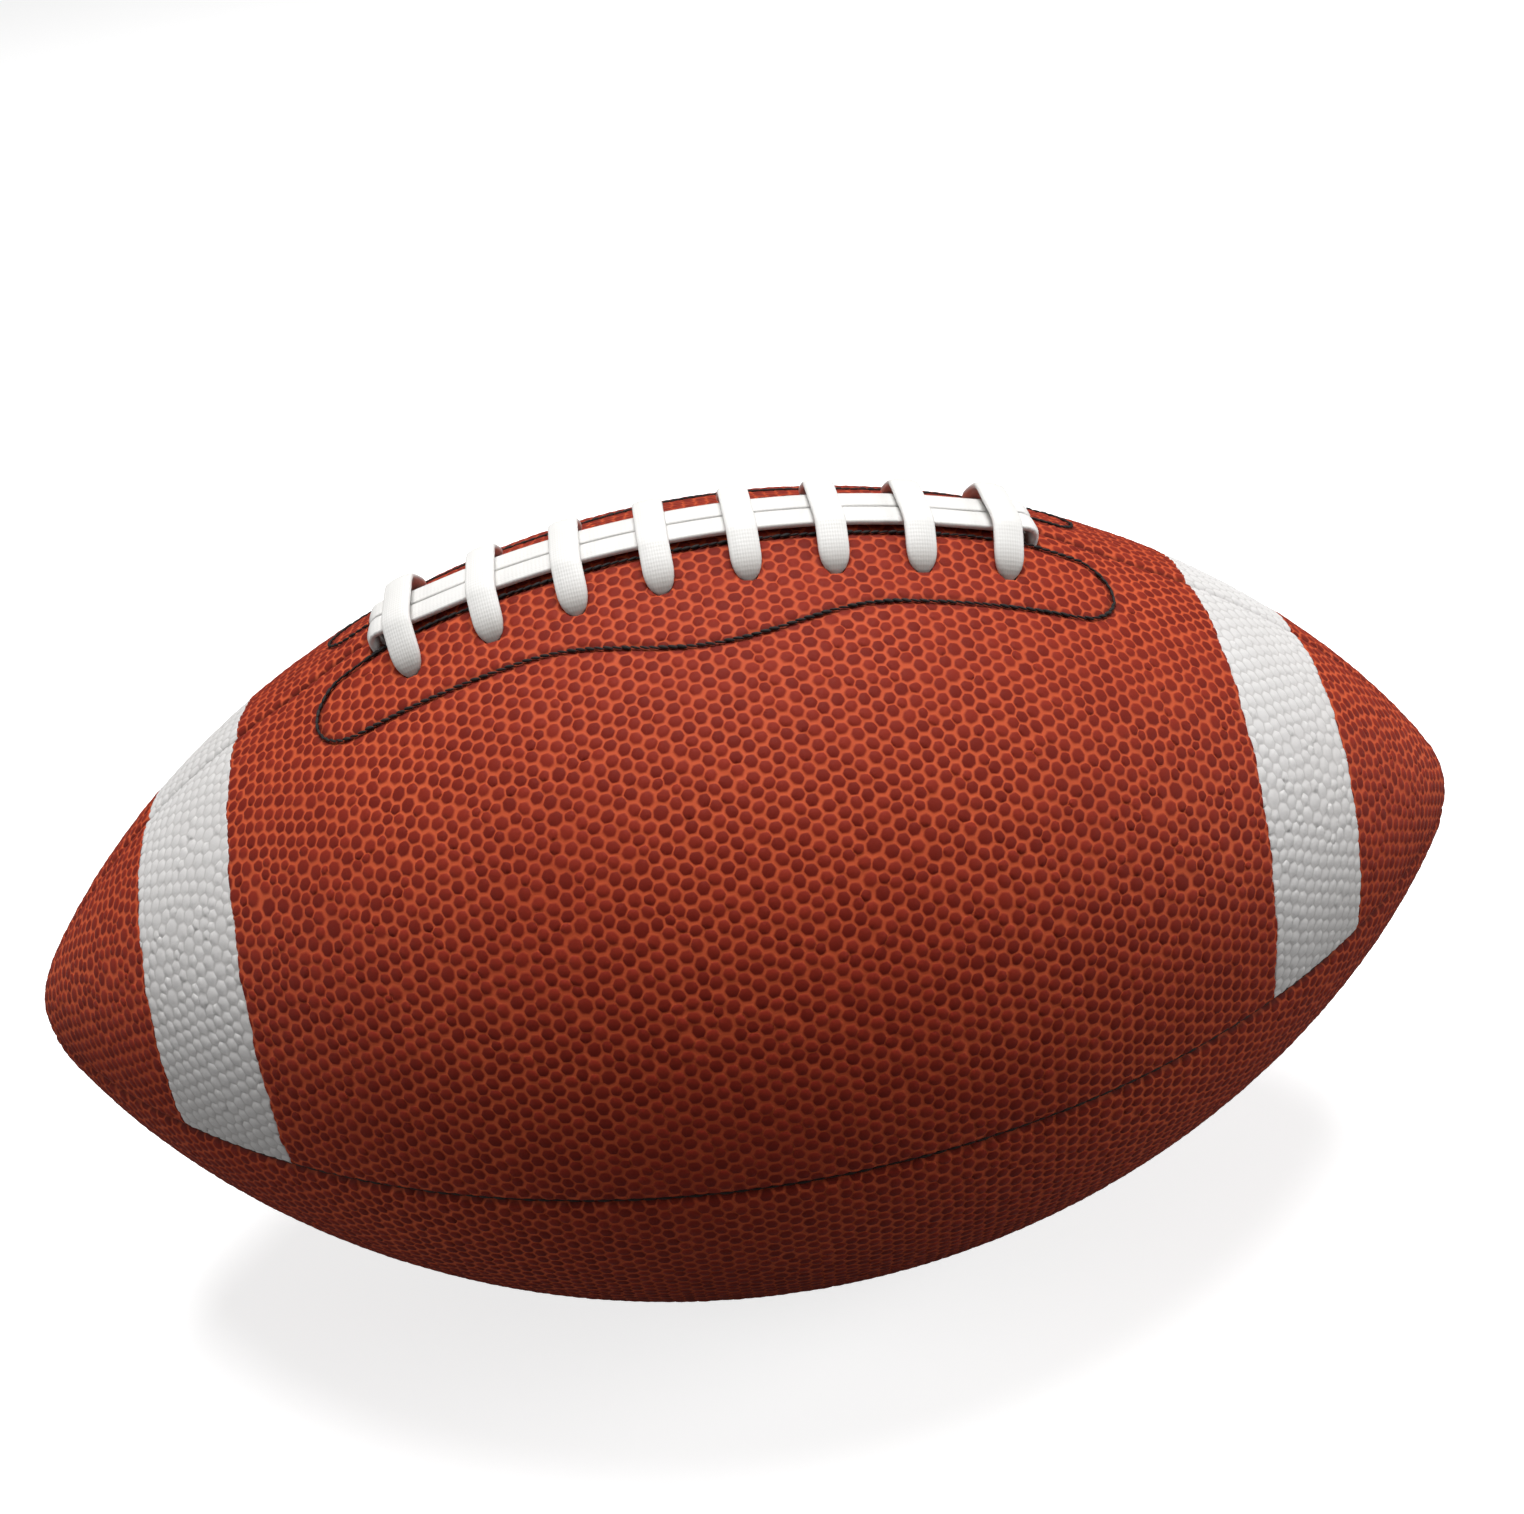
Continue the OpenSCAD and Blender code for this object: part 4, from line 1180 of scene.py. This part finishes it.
PANELS = [
    # quarter, seed, upper, mirrored in Y, mirrored in Z
    ("front_upper", 14, True, False, False),
    ("back_upper", 15, True, True, False),
    ("front_lower", 37, False, False, True),
    ("back_lower", 41, False, True, True),
]
for quarter, seed, upper, flip_y, flip_z in PANELS:
    skin = pebbled_skin(seed)
    stripes = []
    if upper:
        cut_lace_holes(skin)
        stripes = cut_stripes(skin)
    leather = panel_piece(skin, upper, stripes)
    finish_piece(
        f"leather_{quarter}", leather, flip_y, flip_z, LEATHER, f"panel_{quarter}"
    )
    half = quarter.split("_")[0]
    for side, wanted, label in zip((-1, 1), stripes, ("left", "right")):
        finish_piece(
            f"coat_{half}_{label}", stripe_piece(skin, wanted, side), flip_y, flip_z,
            COAT, f"stripe_{half}_{label}", COAT_HIGH,
        )

# Stitches: one point for each, with the way it runs


def stitches(name, points, ways, length, thick, material, node, seed):
    mesh = bpy.data.meshes.new(name)
    mesh.from_pydata(to_row(points).tolist(), [], [])
    add_vector(mesh, "way", ways)
    made = new_object(name, mesh)
    sizes = {"Length": length * MM, "Thickness": thick * MM, "Seed": seed, "Finish": material}
    grow(made, STITCH_TREE, sizes)
    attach(made, "root")
    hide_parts(node)


def marks_of(line):
    """Distance of each point of a line from its start, along the line."""
    return np.concatenate([[0], np.cumsum(np.linalg.norm(np.diff(line, axis=0), axis=1))])


def along_line(line, pitch):
    """Middles and ways of stitches laid end to end along a line of points."""
    marks = marks_of(line)
    count = round(marks[-1] / pitch)
    ends = np.linspace(0, marks[-1], count + 1)
    spots = np.stack([np.interp(ends, marks, line[:, k]) for k in range(3)], -1)
    ways = np.diff(spots, axis=0)
    return (spots[1:] + spots[:-1]) / 2, ways


loop = np.vstack([STITCH_LOOP, STITCH_LOOP[:1]])
fine = [np.linspace(a, b, FINE_STEPS)[:-1] for a, b in zip(loop[:-1], loop[1:])]
loop = np.vstack(fine + [loop[-1:]])
for half, mirror, seed in (("front", 1, 5), ("back", -1, 6)):
    line = place(loop[:, 0], loop[:, 1], THREAD_HIGH + ridge(loop[:, 0], loop[:, 1]))
    middles, ways = along_line(line, STITCH_PITCH)
    ways += THREAD_TWIST * place_axes(*beside_seam(middles).T)[1]
    stitches(
        f"stitches_{half}", middles * [1, mirror, 1], ways * [1, mirror, 1],
        STITCH_PITCH * STITCH_OVERLAP, THREAD_THICK, BLACK_THREAD,
        f"facing_stitching_{half}", seed,
    )


def seam_line(turn, low_run, high_run):
    runs = np.linspace(low_run, high_run, SEAM_STEPS)
    high = ridge(outline(runs)[0], 0.0) if turn == 0 else 0.0
    return on_ball(runs, np.full(SEAM_STEPS, turn), high - SEAM_THREAD_DEPTH)


SLIT_RUN = float(run_at(np.array(MOUTH_END + SLIT_CLEAR)))
SEAM_SEED = 20
SEAMS = [
    # place, turn from the top seam, and where it runs along the outline
    ("front", math.pi / 2, -THREAD_END, THREAD_END),
    ("back", -math.pi / 2, -THREAD_END, THREAD_END),
    ("bottom", math.pi, -THREAD_END, THREAD_END),
    ("top_left", 0.0, -THREAD_END, -SLIT_RUN),
    ("top_right", 0.0, SLIT_RUN, THREAD_END),
]
for k, (where, turn, low_run, high_run) in enumerate(SEAMS):
    middles, ways = along_line(seam_line(turn, low_run, high_run), PUCKER_PITCH)
    stitches(
        f"seam_stitches_{where}", middles, ways, PUCKER_PITCH * SEAM_OVERLAP,
        SEAM_THREAD_THICK, SEAM_THREAD, f"seam_thread_{where}", SEAM_SEED + k,
    )

# Lace: the source's route, drawn as one smooth run. A stop gives the place along the ball, the
# distance off the seam, the height, and the angle between the lace's width and the ball's length

LIFT_SHARE = 0.8
BAR_SHARES = [(1, 0.02), (0.94, 0.27), (0.8, 0.53), (0.62, 0.8), (0.44, 1)]
ACROSS, ALONG = 0, 90
LACE_STEP = 0.75
LACE_SIDES = 28
WIDE_POWER, THICK_POWER = 0.62, 0.72
TIP_SWELL = 0.12
TIP_DEPTHS = (-2.4, -4.2)
BAR_HEADING = 0.05
FLAT_SHARE = 0.3
PAINTED_SHADE_REACH = 6.0
PAINTED_SHADE_FACING = -0.2


def deeper(x, side, high):
    """Distance off the seam that keeps a point below the leather in line with one on it."""
    radius, slope, _ = belly_at(x, side)
    return side * radius / (radius + high * math.cos(slope))


def strand_stop(x, side, high):
    return (x, deeper(x, side, high), high, ALONG)


def bar_x(i):
    return BAR_PITCH * i - LAST_BAR


def is_end(i):
    return i in (0, BAR_COUNT - 1)


def one_bar(i):
    """Up through the back hole, over the strands and down through the front hole."""
    top = BAR_HIGH + (STRAND_RISE * LIFT_SHARE if is_end(i) else 0)
    half = [(HOLE_SIDE, TURN_DEPTH), (HOLE_SIDE, -CASING_DEPTH / 2)]
    half += [(HOLE_SIDE * s, top * h) for s, h in BAR_SHARES]
    path = half + [(0, top)] + [(-side, high) for side, high in reversed(half)]
    return [(bar_x(i), side, high, ACROSS) for side, high in path]


def low_bend(x, sign):
    stops = []
    for a in (math.pi / 4, math.pi / 2):
        side = sign * (HOLE_SIDE - LACE_BEND * (1 - math.cos(a)))
        stops.append((x, side, TURN_DEPTH - LACE_BEND * math.sin(a), ACROSS))
    return stops


def under_run(i):
    """Below the leather, from one bar's front hole to the next bar's back hole."""
    reach = HOLE_SIDE - LACE_BEND
    middle = [
        (bar_x(i) - BAR_PITCH * s, reach * (2 * s - 1), UNDER_HIGH, ACROSS)
        for s in (0.25, 0.5, 0.75)
    ]
    return low_bend(bar_x(i), -1) + middle + low_bend(bar_x(i - 1), 1)[::-1]


def strand_end(side):
    """A strand's end: over its bend and down into the slit."""
    stops = [(LAST_BAR + LACE_WIDE / 2, side, STRAND_HIGH + STRAND_RISE * LIFT_SHARE, ALONG)]
    for a in (90, 60, 30, 0):
        x = BEND_X + STRAND_BEND * math.cos(math.radians(a))
        high = STRAND_HIGH + STRAND_RISE - STRAND_BEND * (1 - math.sin(math.radians(a)))
        stops.append((x, side, high, ALONG))
    return stops + [strand_stop(BEND_X + STRAND_BEND, side, -CASING_DEPTH / 2)]


def strand_link(side):
    """From the slit to the first bar's hole, turning from along the ball to across it."""
    reach = HOLE_SIDE - LACE_BEND
    start = deeper(BEND_X, side, UNDER_HIGH)
    stops = [strand_stop(BEND_X + STRAND_BEND * 0.7, side, -CASING_DEPTH)]
    for back, away, heading in ((0, 0, 84), (0.45, 0.12, 60), (0.85, 0.36, 30), (1, 0.66, 8)):
        side = start + (reach - start) * away
        stops.append((BEND_X - STRAND_REACH * back, side, UNDER_HIGH, heading))
    return stops + low_bend(LAST_BAR, 1)[::-1]


def strand_tail(side):
    """The tucked-in end of the lace."""
    bend = -CASING_DEPTH - UNDER_HIGH
    stops = []
    for a in (0, math.pi / 4, math.pi / 2):
        x = BEND_X + STRAND_BEND + bend * (1 - math.cos(a))
        stops.append(strand_stop(x, side, -CASING_DEPTH - bend * math.sin(a)))
    return stops + [strand_stop(BEND_X + LACE_TAIL, side, UNDER_HIGH)]


def long_strand(side):
    rise = [STRAND_RISE * (1 - LIFT_SHARE) if is_end(i) else 0 for i in range(BAR_COUNT)]
    return [(bar_x(i), side, STRAND_HIGH + rise[i], ALONG) for i in range(BAR_COUNT)]


def turned(stops):
    return [(-x, -side, high, heading) for x, side, high, heading in reversed(stops)]


front_half = (
    turned(strand_tail(-STRAND_SIDE)) + turned(strand_end(-STRAND_SIDE))
    + long_strand(STRAND_SIDE) + strand_end(STRAND_SIDE) + strand_link(STRAND_SIDE)
)
lace_stops = list(front_half)
for i in range(BAR_COUNT - 1, -1, -1):
    lace_stops += one_bar(i) + (under_run(i) if i > 0 else [])
lace_stops = np.array(lace_stops + turned(front_half))


def smooth_run(points, step):
    """A curve through the points, as new points about one step apart, with each one's place."""
    spots, places = [points[0]], [0.0]
    for i in range(len(points) - 1):
        p0, p1, p2, p3 = (points[min(max(k, 0), len(points) - 1)] for k in (i - 1, i, i + 1, i + 2))
        gap = np.linalg.norm(p2 - p1)
        m1, m2 = (m / max(np.linalg.norm(m), 1e-6) * gap for m in (p2 - p0, p3 - p1))
        count = max(round(gap / step), 1)
        for k in range(1, count + 1):
            t = k / count
            a, b = 2 * t**3 - 3 * t**2 + 1, t**3 - 2 * t**2 + t
            c, d = -2 * t**3 + 3 * t**2, t**3 - t**2
            spots.append(a * p1 + b * m1 + c * p2 + d * m2)
            places.append(i + t)
    return np.array(spots), np.array(places)


def tube_faces(rows, sides):
    """Faces of a row of rings, with a fan to one more point at each end."""
    at = np.arange(sides)
    after = (at + 1) % sides
    a, b = (np.arange(rows - 1)[:, None] * sides + k for k in (at, after))
    quads = np.stack([a, b, b + sides, a + sides], -1).reshape(-1, 4)
    last, total = (rows - 1) * sides, rows * sides
    start = np.stack([after, at, np.full(sides, total)], -1)
    end = np.stack([last + at, last + after, np.full(sides, total + 1)], -1)
    return np.vstack([quads[:, [0, 1, 2]], quads[:, [0, 2, 3]], start, end])


def unit(vectors):
    return vectors / np.linalg.norm(vectors, axis=-1)[..., None]


def lace_mesh():
    spots, places = smooth_run(place(*lace_stops[:, :3].T), LACE_STEP)
    stop = np.arange(len(lace_stops))
    x, side, high, heading = (np.interp(places, stop, column) for column in lace_stops.T)
    heading = np.radians(heading)
    along, across, out = place_axes(x, side)
    asked = np.cos(heading)[:, None] * along + np.sin(heading)[:, None] * across
    way = unit(np.gradient(spots, axis=0))
    wide = unit(asked - (asked * way).sum(1)[:, None] * way)
    thick = np.cross(way, wide)
    marks = marks_of(spots)
    # A bar narrows to a rounded tip as it goes into its holes
    on_bar = heading < BAR_HEADING
    leather_high = float(ridge(0.0, HOLE_SIDE)) - DIMPLE_DEEP
    gap = np.hypot(np.abs(side) - HOLE_SIDE, np.maximum(high - leather_high, 0))
    round_tip = np.sqrt(1 - (1 - np.clip(gap / TIP_LONG, 0, 1)) ** 2)
    round_tip = np.where(on_bar, np.maximum(round_tip, smooth_step(*TIP_DEPTHS, high)), 1.0)
    half_wide = (LACE_WIDE / 2 + LACE_FULL) * (TIP_SHARE + (1 - TIP_SHARE) * round_tip)
    half_thick = LACE_THICK / 2 * (1 + TIP_SWELL * (1 - round_tip))
    angles = np.linspace(0, 2 * np.pi, LACE_SIDES, endpoint=False)
    c, s = np.cos(angles), np.sin(angles)
    far = half_wide[:, None] * (np.sign(c) * np.abs(c) ** WIDE_POWER)
    up = half_thick[:, None] * (np.sign(s) * np.abs(s) ** THICK_POWER)
    ring = spots[:, None] + wide[:, None] * far[..., None] + thick[:, None] * up[..., None]
    outward = unit(wide[:, None] * (c * FLAT_SHARE)[:, None] + thick[:, None] * s[:, None])
    points = np.vstack([ring.reshape(-1, 3), spots[:1], spots[-1:]])
    faces = facing_out(points, tube_faces(len(spots), LACE_SIDES))
    mesh = fast_mesh("white_lace", to_row(points), faces, np.ones(len(faces), bool))
    # Painted shade on the bars near their holes, on the sides that face out of the ball
    painted_hole_shade = np.where(on_bar, 1 - smooth_step(0.0, PAINTED_SHADE_REACH, gap), 0.0)
    painted_hole_shade = painted_hole_shade[:, None] * ((outward * out[:, None]).sum(2) > PAINTED_SHADE_FACING)
    length = np.repeat(marks, LACE_SIDES)
    for label, values, ends in (
        ("across", far, (0, 0)), ("along", length, (0, marks[-1])), ("painted_hole_shade", painted_hole_shade, (0, 0))
    ):
        add_float(mesh, label, np.concatenate([values.reshape(-1), ends]))
    add_vector(mesh, "out", np.vstack([outward.reshape(-1, 3), np.zeros((2, 3))]))
    return mesh


lace = new_object("white_lace", lace_mesh())
grow(lace, LACE_TREE, {"Finish": LACE_WHITE})
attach(lace, "root")
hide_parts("lace")

# Pieces whose CAD shape is right keep it and get a real finish


def dress(node, material):
    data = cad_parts[node].data
    if not data.materials:
        data.materials.append(material)
    for k in range(len(data.materials)):
        data.materials[k] = material


lining = cloth_material("lining_cloth", (0.62, 0.57, 0.47), 2800.0, 0.2)
for where in ("front_upper", "back_upper", "front_lower", "back_lower"):
    dress("lining_" + where, lining)
facing = rubber_material("facing_leather", (0.19, 0.09, 0.045), 0.7)
dress("lace_facing_front", facing)
dress("lace_facing_back", facing)
dress("lace_tongue", cloth_material("tongue_felt", (0.035, 0.034, 0.037), 1500.0, 0.4))
dress("bladder", rubber_material("bladder_rubber", (0.022, 0.022, 0.024), 0.55))
dress("valve_housing", rubber_material("valve_rubber", (0.012, 0.012, 0.013), 0.5))
dress("valve_core", rubber_material("core_rubber", (0.30, 0.23, 0.14), 0.5))

# Floor, light and camera

FLOOR_HALF = 6.0
corners = np.array([(-1, -1, 0), (1, -1, 0), (1, 1, 0), (-1, 1, 0)]) * FLOOR_HALF
floor_mesh = fast_mesh("floor", corners, np.array([(0, 1, 2, 3)]))
floor = new_object("floor", floor_mesh)
floor_finish, tree, shader = new_material("pale_floor", Roughness=0.9, Specular_IOR_Level=0.1)
shade = mix_colour(tree, noise(tree, object_place(tree), 3.0), grey(0.70), grey(0.72))
seen = tree.nodes.new("ShaderNodeLightPath").outputs["Is Camera Ray"]
tree.links.new(mix_colour(tree, seen, grey(0.16), shade), shader.inputs["Base Color"])
tree.links.new(mix_colour(tree, seen, grey(0.0), grey(0.7)), shader.inputs["Emission Color"])
shader.inputs["Emission Strength"].default_value = 1.0
floor_mesh.materials.append(floor_finish)


def area_light(name, place_at, aim, size, power):
    data = bpy.data.lights.new(name, "AREA")
    data.shape = "DISK"
    data.size, data.energy = size, power
    light = bpy.data.objects.new(name, data)
    bpy.context.scene.collection.objects.link(light)
    light.location = place_at
    light.rotation_mode = "QUATERNION"
    light.rotation_quaternion = (Vector(aim) - Vector(place_at)).to_track_quat("-Z", "Y")


middle = (0, 0, HALF_WIDTH * MM)
area_light("key", (0.1, 0.27, 1.4), middle, 0.9, 24)
area_light("right", (1.3, -0.3, 0.6), middle, 0.8, 9)
area_light("left", (-1.3, -0.3, 0.6), middle, 0.8, 5.5)
world = bpy.data.worlds.new("soft_studio")
world.use_nodes = True
tree = world.node_tree
sky = tree.nodes["Background"]
seen = tree.nodes.new("ShaderNodeLightPath").outputs["Is Camera Ray"]
tree.links.new(mix_colour(tree, seen, grey(0.09), grey(1.0)), sky.inputs["Color"])
bpy.context.scene.world = world
bpy.context.scene.view_settings.view_transform = "Standard"

# The photograph's camera, from a fit to the outline, seams, stripes, bars and stitching
PHOTO_WIDE, PHOTO_HIGH = 1524, 1514
AZIMUTH, ELEVATION, ROLL = math.radians(-1.3636), math.radians(38.6505), math.radians(-8.5174)
DISTANCE, FOCAL, CENTRE_X, CENTRE_Y = 339.967, 1676.467, 749.727, 893.435
SENSOR = 36.0
level = math.cos(ELEVATION)
back = Vector((math.sin(AZIMUTH) * level, -math.cos(AZIMUTH) * level, math.sin(ELEVATION)))
right = (-back).cross(Vector((0, 0, 1))).normalized()
up = right.cross(-back)
turned_right = right * math.cos(ROLL) + up * math.sin(ROLL)
up = up * math.cos(ROLL) - right * math.sin(ROLL)
data = bpy.data.cameras.new("camera")
data.sensor_width = SENSOR
data.lens = FOCAL / PHOTO_WIDE * SENSOR
data.shift_x = (PHOTO_WIDE / 2 - CENTRE_X) / PHOTO_WIDE
data.shift_y = (CENTRE_Y - PHOTO_HIGH / 2) / PHOTO_WIDE
data.clip_start = 0.01
camera = bpy.data.objects.new("camera", data)
bpy.context.scene.collection.objects.link(camera)
turn = Matrix((turned_right, up, back)).transposed().to_4x4()
camera.matrix_world = Matrix.Translation(Vector(middle) + back * DISTANCE * MM) @ turn
bpy.context.scene.camera = camera
